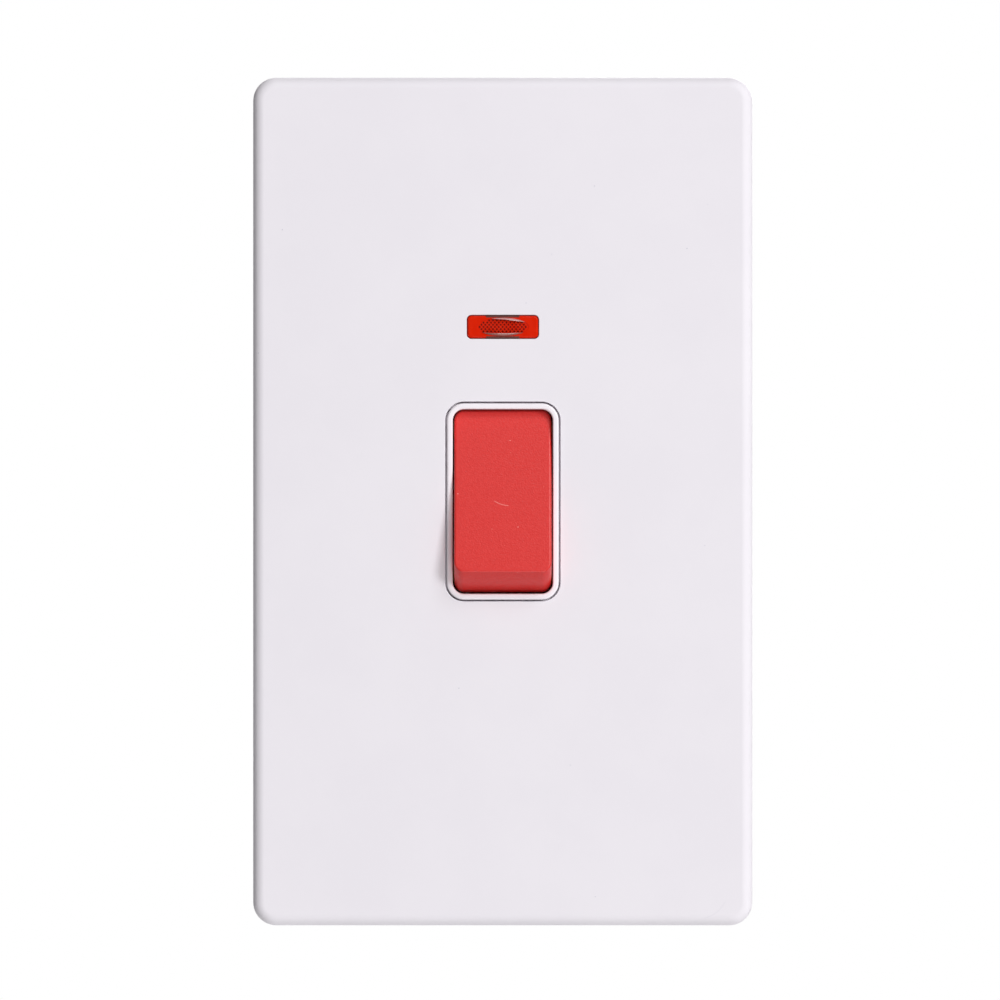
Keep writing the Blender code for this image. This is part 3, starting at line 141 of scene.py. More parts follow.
class Slot(Enum):
    """The finishes that the part's record lists."""

    PAINTED_PLATE = "painted_plate"
    WHITE_MOULDING = "white_moulding"
    FRAME_MOULDING = "frame_moulding"
    THERMOSET = "thermoset"
    RED_ROCKER = "red_rocker"
    RED_LENS = "red_lens"
    ACETAL = "acetal"
    BRASS = "brass"
    COPPER = "copper"
    SILVER_CONTACT = "silver_contact"
    ZINC_STEEL = "zinc_steel"
    LAMP_GLASS = "lamp_glass"
    RESISTOR_COAT = "resistor_coat"
    LEAD_INSULATION = "lead_insulation"


def at(axis: Axis, place: float) -> Test:
    """Test for an edge or face that lies wholly at one place along an axis."""
    return lambda part: all(abs(v.co[axis.value] - place) < NEAR for v in part.verts)


def along(axis: Axis) -> Test:
    """Test for an edge that runs along an axis."""
    others = [other.value for other in Axis if other is not axis]
    return lambda part: all(abs(part.verts[0].co[i] - part.verts[1].co[i]) < NEAR
                            for i in others)


def within(low: Point, high: Point) -> Test:
    """Test for an edge or face that lies wholly between two corners."""
    return lambda part: all(low[i] - NEAR <= v.co[i] <= high[i] + NEAR
                            for v in part.verts for i in range(3))


def both(*tests: Test) -> Test:
    """Test that passes where all of several tests do."""
    return lambda part: all(test(part) for test in tests)


@dataclass
class Piece:
    """A mesh under way, shaped with Blender's own operators in the part's frame."""

    obj: bpy.types.Object

    @classmethod
    def fresh(cls, name: str) -> Piece:
        """Take the primitive that was just added.

        Args:
            name: Name of the piece.

        Returns:
            The piece, with its place in its mesh.
        """
        obj = bpy.context.object
        obj.name = obj.data.name = name
        bpy.ops.object.transform_apply(location=True, rotation=True, scale=True)
        return cls(obj)

    @classmethod
    def box(cls, name: str, low: Point, high: Point) -> Piece:
        """Start from a box between two corners.

        Args:
            name: Name of the piece.
            low: Lowest corner.
            high: Highest corner.

        Returns:
            The piece.
        """
        bpy.ops.object.select_all(action="DESELECT")
        low, high = Vector(low), Vector(high)
        bpy.ops.mesh.primitive_cube_add(size=1.0, location=(low + high) / 2, scale=high - low)
        return cls.fresh(name)

    @classmethod
    def rod(cls, name: str, start: Point, end: Point, radius: float, sides: int = 48) -> Piece:
        """Start from a round rod between two points.

        Args:
            name: Name of the piece.
            start: Middle of one end.
            end: Middle of the other end.
            radius: Radius of the rod.
            sides: Number of its sides.

        Returns:
            The piece.
        """
        bpy.ops.object.select_all(action="DESELECT")
        start, end = Vector(start), Vector(end)
        turn = (end - start).to_track_quat("Z", "Y").to_euler()
        bpy.ops.mesh.primitive_cylinder_add(vertices=sides, radius=radius,
                                            depth=(end - start).length,
                                            location=(start + end) / 2, rotation=turn)
        return cls.fresh(name)

    @classmethod
    def ball(cls, name: str, centre: Point, radii: Point, rings: int = 16) -> Piece:
        """Start from a ball or an ellipsoid.

        Args:
            name: Name of the piece.
            centre: Its middle.
            radii: Half its size along each axis.
            rings: Number of its rings.

        Returns:
            The piece.
        """
        bpy.ops.object.select_all(action="DESELECT")
        bpy.ops.mesh.primitive_uv_sphere_add(segments=2 * rings, ring_count=rings, radius=1.0,
                                             location=centre, scale=radii)
        return cls.fresh(name)

    @classmethod
    def rounded_box(cls, name: str, low: Point, high: Point, corner: float,
                    segments: int) -> Piece:
        """Start from a box whose edges along Y are rounded."""
        return cls.box(name, low, high).bevel(along(Axis.Y), corner, segments)

    @classmethod
    def from_node(cls, frame: dict, node: str) -> Piece:
        """Start from a copy of a CAD node's mesh, with its loose triangles joined.

        Args:
            node: Name of the CAD node.

        Returns:
            The piece.
        """
        source = frame["nodes"][node]
        obj = bpy.data.objects.new(f"{node}_look", source.data.copy())
        bpy.context.scene.collection.objects.link(obj)
        obj.data.name = obj.name
        piece = cls(obj)
        with piece.editing():
            bpy.ops.mesh.select_all(action="SELECT")
            bpy.ops.mesh.remove_doubles(threshold=MERGE)
            bpy.ops.mesh.dissolve_limited(angle_limit=math.radians(0.6), delimit=set())
        return piece

    def activate(self) -> None:
        """Make this the one selected and active object."""
        bpy.ops.object.select_all(action="DESELECT")
        self.obj.select_set(True)
        bpy.context.view_layer.objects.active = self.obj

    @contextmanager
    def editing(self, element: Element = Element.FACE) -> Iterator[None]:
        """Open the mesh in edit mode with nothing selected.

        Args:
            element: What the edit selects.

        Yields:
            Nothing; the mesh is open until the block ends.
        """
        self.activate()
        bpy.ops.object.mode_set(mode="EDIT")
        bpy.ops.mesh.select_mode(type=element.value)
        bpy.ops.mesh.select_all(action="DESELECT")
        try:
            yield
        finally:
            bpy.ops.object.mode_set(mode="OBJECT")

    def select(self, element: Element, test: Test) -> int:
        """Select the edges or faces that pass a test, in edit mode.

        Args:
            element: Edges or faces.
            test: What they have to pass.

        Returns:
            How many were selected.
        """
        bm = bmesh.from_edit_mesh(self.obj.data)
        parts = bm.edges if element is Element.EDGE else bm.faces
        chosen = [part for part in parts if test(part)]
        for part in chosen:
            part.select_set(True)
        bmesh.update_edit_mesh(self.obj.data)
        if not chosen:
            LOG.warning("%s: nothing to select", self.obj.name)
        return len(chosen)

    def bevel(self, test: Test, width: float, segments: int) -> Piece:
        """Round the edges that pass a test.

        Args:
            test: What the edges have to pass.
            width: Width of the bevel along each face.
            segments: Facets in it.

        Returns:
            The same piece.
        """
        with self.editing(Element.EDGE):
            if self.select(Element.EDGE, test):
                bpy.ops.mesh.bevel(offset=width, segments=segments, affect="EDGES",
                                   clamp_overlap=False)
        return self

    def inset(self, test: Test, rim: float, sink: float = 0.0) -> Piece:
        """Inset the faces that pass a test, and sink or raise what is inside.

        Args:
            test: What the faces have to pass.
            rim: Width left round them.
            sink: How far the inner faces go in, below zero for out.

        Returns:
            The same piece.
        """
        with self.editing():
            if self.select(Element.FACE, test):
                bpy.ops.mesh.inset(thickness=rim, depth=-sink, use_even_offset=True)
        return self

    def extrude(self, test: Test, move: Point, scale: Point = (1.0, 1.0, 1.0)) -> Piece:
        """Extrude the faces that pass a test, and size what was drawn out.

        Args:
            test: What the faces have to pass.
            move: How far they are drawn out.
            scale: Size of their outline after that, along each axis.

        Returns:
            The same piece.
        """
        with self.editing():
            if self.select(Element.FACE, test):
                bpy.ops.mesh.extrude_region_move(TRANSFORM_OT_translate={"value": tuple(move)})
                bpy.ops.transform.resize(value=tuple(scale))
        return self

    def draw_out(self, test: Test, steps: Sequence[tuple[Point, Point]]) -> Piece:
        """Extrude the faces that pass a test in several steps, each moved and sized.

        Args:
            test: What the faces have to pass.
            steps: Each step's move and its scale along each axis.

        Returns:
            The same piece.
        """
        with self.editing():
            if self.select(Element.FACE, test):
                for move, scale in steps:
                    bpy.ops.mesh.extrude_region_move(
                        TRANSFORM_OT_translate={"value": tuple(move)})
                    bpy.ops.transform.resize(value=tuple(scale))
        return self

    def delete(self, test: Test) -> Piece:
        """Delete the faces that pass a test.

        Args:
            test: What the faces have to pass.

        Returns:
            The same piece.
        """
        with self.editing():
            if self.select(Element.FACE, test):
                bpy.ops.mesh.delete(type="FACE")
        return self

    def cut_off(self, place: Point, normal: Point) -> Piece:
        """Cut the piece at a plane, and close what is left behind it.

        Args:
            place: A point on the plane.
            normal: Its normal, pointing to what is cut away.

        Returns:
            The same piece.
        """
        with self.editing():
            bpy.ops.mesh.select_all(action="SELECT")
            bpy.ops.mesh.bisect(plane_co=tuple(place), plane_no=tuple(normal),
                                clear_outer=True, use_fill=True, threshold=NEAR / 10)
            bpy.ops.mesh.select_all(action="SELECT")
            bpy.ops.mesh.normals_make_consistent(inside=False)
        return self

    def apply(self, kind: str, **values: object) -> Piece:
        """Put a modifier on the piece and apply it.

        Args:
            kind: Type of the modifier.
            **values: Its settings.

        Returns:
            The same piece.
        """
        self.activate()
        modifier = self.obj.modifiers.new(kind.lower(), kind)
        for key, value in values.items():
            setattr(modifier, key, value)
        bpy.ops.object.modifier_apply(modifier=modifier.name)
        return self

    def _combine(self, operation: str, others: Sequence[Piece]) -> Piece:
        """Apply one Boolean with each of several pieces, and delete them.

        Args:
            operation: DIFFERENCE, UNION or INTERSECT.
            others: The other pieces.

        Returns:
            The same piece.
        """
        for other in others:
            self.apply("BOOLEAN", operation=operation, solver="EXACT", object=other.obj)
            mesh = other.obj.data
            bpy.data.objects.remove(other.obj, do_unlink=True)
            bpy.data.meshes.remove(mesh)
        return self

    def carve(self, *cutters: Piece) -> Piece:
        """Cut other pieces out of this one."""
        return self._combine("DIFFERENCE", cutters)

    def fuse(self, *others: Piece) -> Piece:
        """Join other pieces to this one."""
        return self._combine("UNION", others)

    def merge(self, *others: Piece) -> Piece:
        """Take other pieces' meshes into this one as they are.

        Args:
            *others: The pieces to take in.

        Returns:
            The same piece.
        """
        self.activate()
        for other in others:
            other.obj.select_set(True)
        bpy.ops.object.join()
        return self

    def copy(self, name: str) -> Piece:
        """Copy the piece with its own mesh.

        Args:
            name: Name of the copy.

        Returns:
            The copy.
        """
        obj = self.obj.copy()
        obj.data = self.obj.data.copy()
        obj.name = obj.data.name = name
        bpy.context.scene.collection.objects.link(obj)
        return Piece(obj)

    def place(self, matrix: Matrix) -> Piece:
        """Move or turn the mesh itself, with the object left at the origin.

        Args:
            matrix: What its points are moved by.

        Returns:
            The same piece.
        """
        self.obj.data.transform(matrix)
        if matrix.is_negative:
            self.obj.data.flip_normals()
        self.obj.data.update()
        return self

    def turn(self, angle: float, axis: Axis, centre: Point) -> Piece:
        """Turn the mesh about an axis through a point, by the right-hand rule."""
        middle = Matrix.Translation(centre)
        return self.place(middle @ Matrix.Rotation(angle, 4, axis.name) @ middle.inverted())

    def smooth(self, angle: float = 32.0) -> Piece:
        """Shade the piece smooth up to an angle, with its large faces kept flat.

        Args:
            angle: Sharpest edge that is smoothed, in degrees.

        Returns:
            The same piece.
        """
        self.activate()
        bpy.ops.object.shade_smooth_by_angle(angle=math.radians(angle))
        return self.apply("WEIGHTED_NORMAL", keep_sharp=True, weight=100)

    def fit(self, body: Body, slot: Slot, finish: Finish, *stands_for: str) -> Piece:
        """Dress the piece and fix it to its body.

        Args:
            body: Body it moves with.
            slot: The record's finish for the piece; not used.
            finish: Its material.
            *stands_for: CAD nodes that it is shown in place of.

        Returns:
            The same piece.
        """
        self.obj.data.materials.clear()
        self.obj.data.materials.append(finish.material())
        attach(self.obj, body.value)
        if stands_for:
            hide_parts(*stands_for)
        LOG.info("%s: %d faces on %s", self.obj.name, len(self.obj.data.polygons), body.value)
        return self


class GroupKit:
    """Shader node groups that several finishes share, each built once."""

    @staticmethod
    def _start(name: str, inputs: Sequence[tuple[str, str, object]],
               outputs: Sequence[tuple[str, str]]
               ) -> tuple[NodeBench, bpy.types.Node, bpy.types.Node]:
        """Make an empty group with its sockets.

        Args:
            name: Name of the group.
            inputs: Each input's name, socket type and first value.
            outputs: Each output's name and socket type.

        Returns:
            A bench to place nodes with, and the group's input and output nodes.
        """
        tree = bpy.data.node_groups.new(name, "ShaderNodeTree")
        for label, kind, value in inputs:
            socket = tree.interface.new_socket(label, in_out="INPUT", socket_type=kind)
            if value is not None:
                socket.default_value = value
        for label, kind in outputs:
            tree.interface.new_socket(label, in_out="OUTPUT", socket_type=kind)
        bench = NodeBench(tree)
        return bench, bench.add("NodeGroupInput"), bench.add("NodeGroupOutput")

    @classmethod
    @cache
    def mottle(cls) -> bpy.types.NodeTree:
        """Soft blotches that blend two colours and give a mask of them.

        Returns:
            The node group.
        """
        bench, given, result = cls._start(
            "mottle",
            [("Colour", "NodeSocketColor", (1, 1, 1, 1)),
             ("Second colour", "NodeSocketColor", (0, 0, 0, 1)),
             ("Scale", "NodeSocketFloat", 100.0), ("Stretch", "NodeSocketVector", (1, 1, 1))],
            [("Colour", "NodeSocketColor"), ("Mask", "NodeSocketFloat")])
        place = bench.add("ShaderNodeTexCoord").outputs["Object"]
        stretched = bench.vector_math("MULTIPLY", place, given.outputs["Stretch"])
        noise = bench.noise(stretched, given.outputs["Scale"], detail=4.0, roughness=0.6)
        mask = bench.spread(noise, 0.32, 0.68)
        colour = bench.mix(mask, given.outputs["Colour"], given.outputs["Second colour"])
        bench.link(colour, result.inputs["Colour"])
        bench.link(mask, result.inputs["Mask"])
        return bench.tree

    @classmethod
    @cache
    def grain(cls) -> bpy.types.NodeTree:
        """Fine moulded or sprayed grain as a normal.

        Returns:
            The node group.
        """
        bench, given, result = cls._start(
            "grain",
            [("Scale", "NodeSocketFloat", 4000.0), ("Strength", "NodeSocketFloat", 0.2),
             ("Height", "NodeSocketFloat", 0.00002), ("Stretch", "NodeSocketVector", (1, 1, 1))],
            [("Normal", "NodeSocketVector"), ("Mask", "NodeSocketFloat")])
        place = bench.add("ShaderNodeTexCoord").outputs["Object"]
        stretched = bench.vector_math("MULTIPLY", place, given.outputs["Stretch"])
        noise = bench.noise(stretched, given.outputs["Scale"], detail=2.0, roughness=0.55)
        bump = bench.add("ShaderNodeBump")
        bench.link(noise, bump.inputs["Height"])
        bench.link(given.outputs["Strength"], bump.inputs["Strength"])
        bench.link(given.outputs["Height"], bump.inputs["Distance"])
        bench.link(bump.outputs["Normal"], result.inputs["Normal"])
        bench.link(noise, result.inputs["Mask"])
        return bench.tree

    @classmethod
    @cache
    def specks(cls) -> bpy.types.NodeTree:
        """Sparse specks of dust or pigment over a colour.

        Returns:
            The node group.
        """
        bench, given, result = cls._start(
            "specks",
            [("Colour", "NodeSocketColor", (1, 1, 1, 1)),
             ("Speck colour", "NodeSocketColor", (0, 0, 0, 1)),
             ("Scale", "NodeSocketFloat", 400.0), ("Size", "NodeSocketFloat", 0.08),
             ("Share", "NodeSocketFloat", 0.1)],
            [("Colour", "NodeSocketColor"), ("Mask", "NodeSocketFloat")])
        place = bench.add("ShaderNodeTexCoord").outputs["Object"]
        cells = bench.add("ShaderNodeTexVoronoi")
        bench.link(place, cells.inputs["Vector"])
        bench.link(given.outputs["Scale"], cells.inputs["Scale"])
        parts = bench.add("ShaderNodeSeparateColor")
        bench.link(cells.outputs["Color"], parts.inputs["Color"])
        kept = bench.math("LESS_THAN", parts.outputs["Red"], given.outputs["Share"])
        reach = bench.math("MULTIPLY", parts.outputs["Green"], given.outputs["Size"])
        near = bench.math("LESS_THAN", cells.outputs["Distance"], reach)
        mask = bench.math("MULTIPLY", kept, near)
        colour = bench.mix(mask, given.outputs["Colour"], given.outputs["Speck colour"])
        bench.link(colour, result.inputs["Colour"])
        bench.link(mask, result.inputs["Mask"])
        return bench.tree


@dataclass
class NodeBench:
    """Places and joins shader nodes in one tree."""

    tree: bpy.types.NodeTree

    def add(self, kind: str) -> bpy.types.Node:
        """Add a node of a kind."""
        return self.tree.nodes.new(kind)

    def link(self, source: object, target: bpy.types.NodeSocket) -> None:
        """Join a socket to an input, or set the input to a plain value."""
        if isinstance(source, bpy.types.NodeSocket):
            self.tree.links.new(source, target)
        else:
            target.default_value = source

    def math(self, operation: str, first: object,
             second: object = 0.0) -> bpy.types.NodeSocket:
        """Work out one number from two.

        Args:
            operation: What the node does.
            first: Socket or number.
            second: Socket or number.

        Returns:
            The result's socket.
        """
        node = self.add("ShaderNodeMath")
        node.operation = operation
        self.link(first, node.inputs[0])
        self.link(second, node.inputs[1])
        return node.outputs[0]

    def vector_math(self, operation: str, first: object, second: object,
                    result: str = "Vector") -> bpy.types.NodeSocket:
        """Work out a vector or a length from two vectors.

        Args:
            operation: What the node does.
            first: Socket or vector.
            second: Socket or vector.
            result: Name of the output to use.

        Returns:
            The result's socket.
        """
        node = self.add("ShaderNodeVectorMath")
        node.operation = operation
        self.link(first, node.inputs[0])
        self.link(second, node.inputs[1])
        return node.outputs[result]

    def noise(self, place: object, scale: object, detail: float = 2.0,
              roughness: float = 0.5) -> bpy.types.NodeSocket:
        """Add a noise texture.

        Args:
            place: Where it is read.
            scale: Its scale in waves a metre.
            detail: Number of its finer layers.
            roughness: Strength of the finer layers.

        Returns:
            Its value's socket.
        """
        node = self.add("ShaderNodeTexNoise")
        self.link(place, node.inputs["Vector"])
        self.link(scale, node.inputs["Scale"])
        node.inputs["Detail"].default_value = detail
        node.inputs["Roughness"].default_value = roughness
        return node.outputs["Fac"]

    def spread(self, value: object, low: float, high: float, new_low: float = 0.0,
               new_high: float = 1.0) -> bpy.types.NodeSocket:
        """Map a range of a value to another range.

        Args:
            value: Socket to map.
            low: Value that becomes new_low.
            high: Value that becomes new_high.
            new_low: First end of the new range.
            new_high: Second end of the new range.

        Returns:
            The mapped value's socket.
        """
        node = self.add("ShaderNodeMapRange")
        node.interpolation_type = "SMOOTHSTEP"
        self.link(value, node.inputs["Value"])
        for label, number in (("From Min", low), ("From Max", high),
                              ("To Min", new_low), ("To Max", new_high)):
            node.inputs[label].default_value = number
        return node.outputs["Result"]

    def mix(self, share: object, first: object, second: object) -> bpy.types.NodeSocket:
        """Blend two colours.

        Args:
            share: Share of the second.
            first: Socket or colour.
            second: Socket or colour.

        Returns:
            The blended colour's socket.
        """
        node = self.add("ShaderNodeMix")
        node.data_type = "RGBA"
        self.link(share, node.inputs[0])
        self.link(first, node.inputs[6])
        self.link(second, node.inputs[7])
        return node.outputs[2]

    def group(self, tree: bpy.types.NodeTree, **values: object) -> bpy.types.Node:
        """Place a shared node group.

        Args:
            tree: The group.
            **values: Its inputs by name, with _ for a space.

        Returns:
            The group's node.
        """
        node = self.add("ShaderNodeGroup")
        node.node_tree = tree
        for label, value in values.items():
            self.link(value, node.inputs[label.replace("_", " ")])
        return node


@dataclass(frozen=True)
class Finish:
    """A finish: its colours, its gloss and how its surface varies."""

    name: str
    colour: Colour
    second: Colour
    rough_low: float = 0.4
    rough_high: float = 0.5
    metallic: float = 0.0
    blotch: float = 120.0             # blotches, in waves a metre
    stretch: Point = (1.0, 1.0, 1.0)  # draws blotches and grain out along an axis
    grain: float = 3000.0             # grain, in waves a metre
    grain_strength: float = 0.2
    grain_height: float = 0.00001
    specular: float = 0.5
    transmission: float = 0.0
    ior: float = 1.5

    def material(self) -> bpy.types.Material:
        """Build the material once, and give it again after that.

        Returns:
            The material.
        """
        label = f"{self.name}_finish"
        known = bpy.data.materials.get(label)
        if known is not None:
            return known
        made = bpy.data.materials.new(label)
        made.use_nodes = True
        made.node_tree.nodes.clear()
        bench = NodeBench(made.node_tree)
        shader = bench.add("ShaderNodeBsdfPrincipled")
        output = bench.add("ShaderNodeOutputMaterial")
        bench.link(shader.outputs["BSDF"], output.inputs["Surface"])
        for label, value in (("Metallic", self.metallic), ("Specular IOR Level", self.specular),
                             ("Transmission Weight", self.transmission), ("IOR", self.ior)):
            shader.inputs[label].default_value = value
        blotches = bench.group(GroupKit.mottle(), Colour=(*self.colour, 1.0),
                               Second_colour=(*self.second, 1.0), Scale=self.blotch,
                               Stretch=self.stretch)
        colour = self.mark(bench, blotches.outputs["Colour"])
        bench.link(colour, shader.inputs["Base Color"])
        bench.link(bench.spread(blotches.outputs["Mask"], 0.0, 1.0, self.rough_low,
                                self.rough_high), shader.inputs["Roughness"])
        grain = bench.group(GroupKit.grain(), Scale=self.grain, Strength=self.grain_strength,
                            Height=self.grain_height, Stretch=self.stretch)
        bench.link(grain.outputs["Normal"], shader.inputs["Normal"])
        return made

    def mark(self, bench: NodeBench, colour: bpy.types.NodeSocket) -> bpy.types.NodeSocket:
        """Add marks to the colour; a plain finish has none."""
        return colour


def hairline(bench: NodeBench, centre: Point, radius: float, width: float, low: Point,
             high: Point) -> bpy.types.NodeSocket:
    """Mask of a fine curved scratch: a piece of a ring, seen along Y.

    Args:
        bench: Where the nodes go.
        centre: Middle of the ring.
        radius: Radius of the ring.
        width: Width of the scratch.
        low: Lowest x and z of the piece that shows.
        high: Highest x and z of it.

    Returns:
        The mask's socket.
    """
    place = bench.add("ShaderNodeTexCoord").outputs["Object"]
    flat = bench.vector_math("MULTIPLY", place, (1.0, 0.0, 1.0))
    reach = bench.vector_math("DISTANCE", flat, (centre[0], 0.0, centre[1]), result="Value")
    off = bench.math("ABSOLUTE", bench.math("SUBTRACT", reach, radius))
    mask = bench.spread(off, 0.0, width, 1.0, 0.0)
    parts = bench.add("ShaderNodeSeparateXYZ")
    bench.link(place, parts.inputs["Vector"])
    for label, near, far in (("X", low[0], high[0]), ("Z", low[1], high[1])):
        edge = FADE * (far - near)
        mask = bench.math("MULTIPLY", mask,
                          bench.spread(parts.outputs[label], near, near + edge))
        mask = bench.math("MULTIPLY", mask,
                          bench.spread(parts.outputs[label], far - edge, far, 1.0, 0.0))
    return mask


@dataclass(frozen=True)
class PaintedPlateFinish(Finish):
    """Satin paint with a few faint specks and a faint scuff near a corner."""

    speck: Colour = (0.60, 0.58, 0.66)

    def mark(self, bench: NodeBench, colour: bpy.types.NodeSocket) -> bpy.types.NodeSocket:
        """Add the specks and the scuff.

        Args:
            bench: Where the nodes go.
            colour: The blotched colour.

        Returns:
            The marked colour.
        """
        dusty = bench.group(GroupKit.specks(), Colour=colour, Speck_colour=(*self.speck, 1.0),
                            Scale=260.0, Size=0.06, Share=0.3)
        scuff = hairline(bench, centre=(0.0335, -0.0665), radius=0.0052, width=0.00022,
                         low=(0.0345, -0.0725), high=(0.0392, -0.0685))
        return bench.mix(bench.math("MULTIPLY", scuff, 0.22), dusty.outputs["Colour"],
                         (0.70, 0.68, 0.74, 1.0))


@dataclass(frozen=True)
class RockerFinish(Finish):
    """Matte red moulding with pale dust in its grain and one hairline scratch."""

    dust: Colour = (0.90, 0.30, 0.27)

    def mark(self, bench: NodeBench, colour: bpy.types.NodeSocket) -> bpy.types.NodeSocket:
        """Add the dust and the scratch.

        Args:
            bench: Where the nodes go.
            colour: The blotched colour.

        Returns:
            The marked colour.
        """
        dusty = bench.group(GroupKit.specks(), Colour=colour, Speck_colour=(*self.dust, 1.0),
                            Scale=900.0, Size=0.1, Share=0.4)
        scratch = hairline(bench, centre=(0.0012, 0.0041), radius=0.0048, width=0.00009,
                           low=(-0.0016, -0.0012), high=(0.0011, 0.0006))
        return bench.mix(bench.math("MULTIPLY", scratch, 0.8), dusty.outputs["Colour"],
                         (*self.dust, 1.0))


@dataclass(frozen=True)
class KnurlFinish(Finish):
    """Red lens core whose pyramids carry painted shade at their tips."""

    # colour of the painted shade at the pyramids' tips
    dark: Colour = (0.13, 0.001, 0.0)

    def mark(self, bench: NodeBench, colour: bpy.types.NodeSocket) -> bpy.types.NodeSocket:
        """Add the painted shade at the tips.

        Args:
            bench: Where the nodes go.
            colour: The blotched colour.

        Returns:
            The marked colour.
        """
        place = bench.add("ShaderNodeTexCoord").outputs["Object"]
        parts = bench.add("ShaderNodeSeparateXYZ")
        centred = bench.vector_math("SUBTRACT", place, (0.0, 0.0, NEON_Z))
        bench.link(centred, parts.inputs["Vector"])
        wave = 1.0
        for label, pitch in zip(("X", "Z"), KNURL_PITCH):
            angle = bench.math("MULTIPLY", parts.outputs[label], 2 * math.pi / pitch)
            wave = bench.math("MULTIPLY", bench.math("COSINE", angle), wave)
        # painted shade: darkest at each pyramid's tip
        return bench.mix(bench.spread(wave, 0.05, 0.62), colour, (*self.dark, 1.0))


PAINT = PaintedPlateFinish("painted_plate", (0.855, 0.823, 0.871), (0.84, 0.808, 0.858),
                           rough_low=0.46, rough_high=0.54, blotch=60.0, grain=1500.0,
                           grain_strength=0.12, grain_height=0.000006, ior=1.14)
WHITE = Finish("white_moulding", (0.93, 0.88, 0.925), (0.915, 0.862, 0.91), rough_low=0.3,
               rough_high=0.38, blotch=200.0, grain=5000.0, grain_strength=0.06,
               grain_height=0.000004, ior=1.3)
RED = RockerFinish("red_rocker", (0.64, 0.019, 0.016), (0.68, 0.025, 0.021), rough_low=0.32,
                   rough_high=0.44, blotch=2400.0, grain=4200.0, grain_strength=0.8,
                   grain_height=0.00005, specular=0.42)
LENS = Finish("red_lens", (0.72, 0.018, 0.001), (0.66, 0.013, 0.0), rough_low=0.14,
              rough_high=0.2, blotch=500.0, grain=4000.0, grain_strength=0.05,
              grain_height=0.000004, ior=1.16)
KNURL = KnurlFinish("red_lens_knurl", (0.62, 0.022, 0.004), (0.56, 0.014, 0.001), rough_low=0.2,
                    rough_high=0.3, blotch=900.0, grain=4000.0, grain_strength=0.05,
                    grain_height=0.000004, ior=1.16)
# pale crescent colours: painted reflections on the upper and lower flanks of the lens's dome
PAINTED_BROW_REFLECTION = Finish("red_lens_brow", (0.56, 0.24, 0.23), (0.50, 0.19, 0.18), rough_low=0.08,
                   rough_high=0.16, blotch=500.0, grain=900.0, grain_strength=0.03,
                   grain_height=0.000003, specular=0.9)
PAINTED_LIP_REFLECTION = Finish("red_lens_lip", (0.33, 0.085, 0.065), (0.28, 0.06, 0.045), rough_low=0.1,
                  rough_high=0.18, blotch=500.0, grain=900.0, grain_strength=0.03,
                  grain_height=0.000003, specular=0.6)
FRAME_WHITE = Finish("frame_moulding", (0.78, 0.77, 0.74), (0.745, 0.735, 0.705),
                     rough_low=0.5, rough_high=0.6, blotch=90.0, grain=2600.0,
                     grain_strength=0.25, grain_height=0.000012)
THERMOSET = Finish("thermoset", (0.70, 0.68, 0.62), (0.655, 0.632, 0.57), rough_low=0.42,
                   rough_high=0.55, blotch=140.0, grain=3400.0, grain_strength=0.2,
                   grain_height=0.00001)
# dark brown for the strips of painted shade where the lamp's recess shows through the lens
LENS_RECESS_SHADE = Finish("red_lens_smoked", (0.150, 0.044, 0.034), (0.12, 0.032, 0.026), rough_low=0.12,
                rough_high=0.2, blotch=500.0, grain=4000.0, grain_strength=0.05,
                grain_height=0.000004, ior=1.22)
PALE = Finish("pale_floor", (0.86, 0.86, 0.86), (0.84, 0.84, 0.84), rough_low=0.7,
              rough_high=0.8, blotch=3.0, grain=300.0, grain_strength=0.05)
ACETAL = Finish("acetal", (0.82, 0.80, 0.74), (0.79, 0.77, 0.71), rough_low=0.32,
                rough_high=0.4, blotch=300.0, grain=5000.0, grain_strength=0.1)
BRASS = Finish("brass", (0.78, 0.60, 0.29), (0.66, 0.48, 0.21), rough_low=0.24,
               rough_high=0.38, metallic=1.0, blotch=260.0, stretch=(1.0, 1.0, 0.3),
               grain=2400.0, grain_strength=0.18, grain_height=0.000006)
COPPER = Finish("copper", (0.80, 0.42, 0.28), (0.68, 0.31, 0.19), rough_low=0.26,
                rough_high=0.4, metallic=1.0, blotch=300.0, stretch=(0.3, 1.0, 1.0),
                grain=2400.0, grain_strength=0.15, grain_height=0.000006)
SILVER = Finish("silver_contact", (0.86, 0.85, 0.82), (0.74, 0.72, 0.68), rough_low=0.28,
                rough_high=0.42, metallic=1.0, blotch=700.0, grain=5000.0,
                grain_strength=0.15, grain_height=0.000005)
ZINC = Finish("zinc_steel", (0.66, 0.67, 0.69), (0.54, 0.56, 0.60), rough_low=0.28,
              rough_high=0.42, metallic=1.0, blotch=220.0, grain=2600.0,
              grain_strength=0.15, grain_height=0.000005)
GLASS = Finish("lamp_glass", (0.96, 0.95, 0.93), (0.93, 0.92, 0.90), rough_low=0.02,
               rough_high=0.05, grain=400.0, grain_strength=0.05, transmission=0.92,
               ior=1.5)
ELECTRODE = Finish("lamp_electrode", (0.30, 0.27, 0.24), (0.20, 0.18, 0.16), rough_low=0.4,
                   rough_high=0.55, metallic=1.0, blotch=900.0)
RESISTOR = Finish("resistor_coat", (0.60, 0.46, 0.29), (0.54, 0.40, 0.24), rough_low=0.3,
                  rough_high=0.42, blotch=600.0, grain=3000.0, grain_strength=0.2)
BAND = Finish("resistor_band", (0.17, 0.07, 0.035), (0.14, 0.055, 0.03), rough_low=0.3,
              rough_high=0.4, blotch=600.0, grain=3000.0, grain_strength=0.1)
INSULATION = Finish("lead_insulation", (0.80, 0.79, 0.76), (0.76, 0.75, 0.72),
                    rough_low=0.34, rough_high=0.42, blotch=400.0, grain=3000.0,
                    grain_strength=0.1)


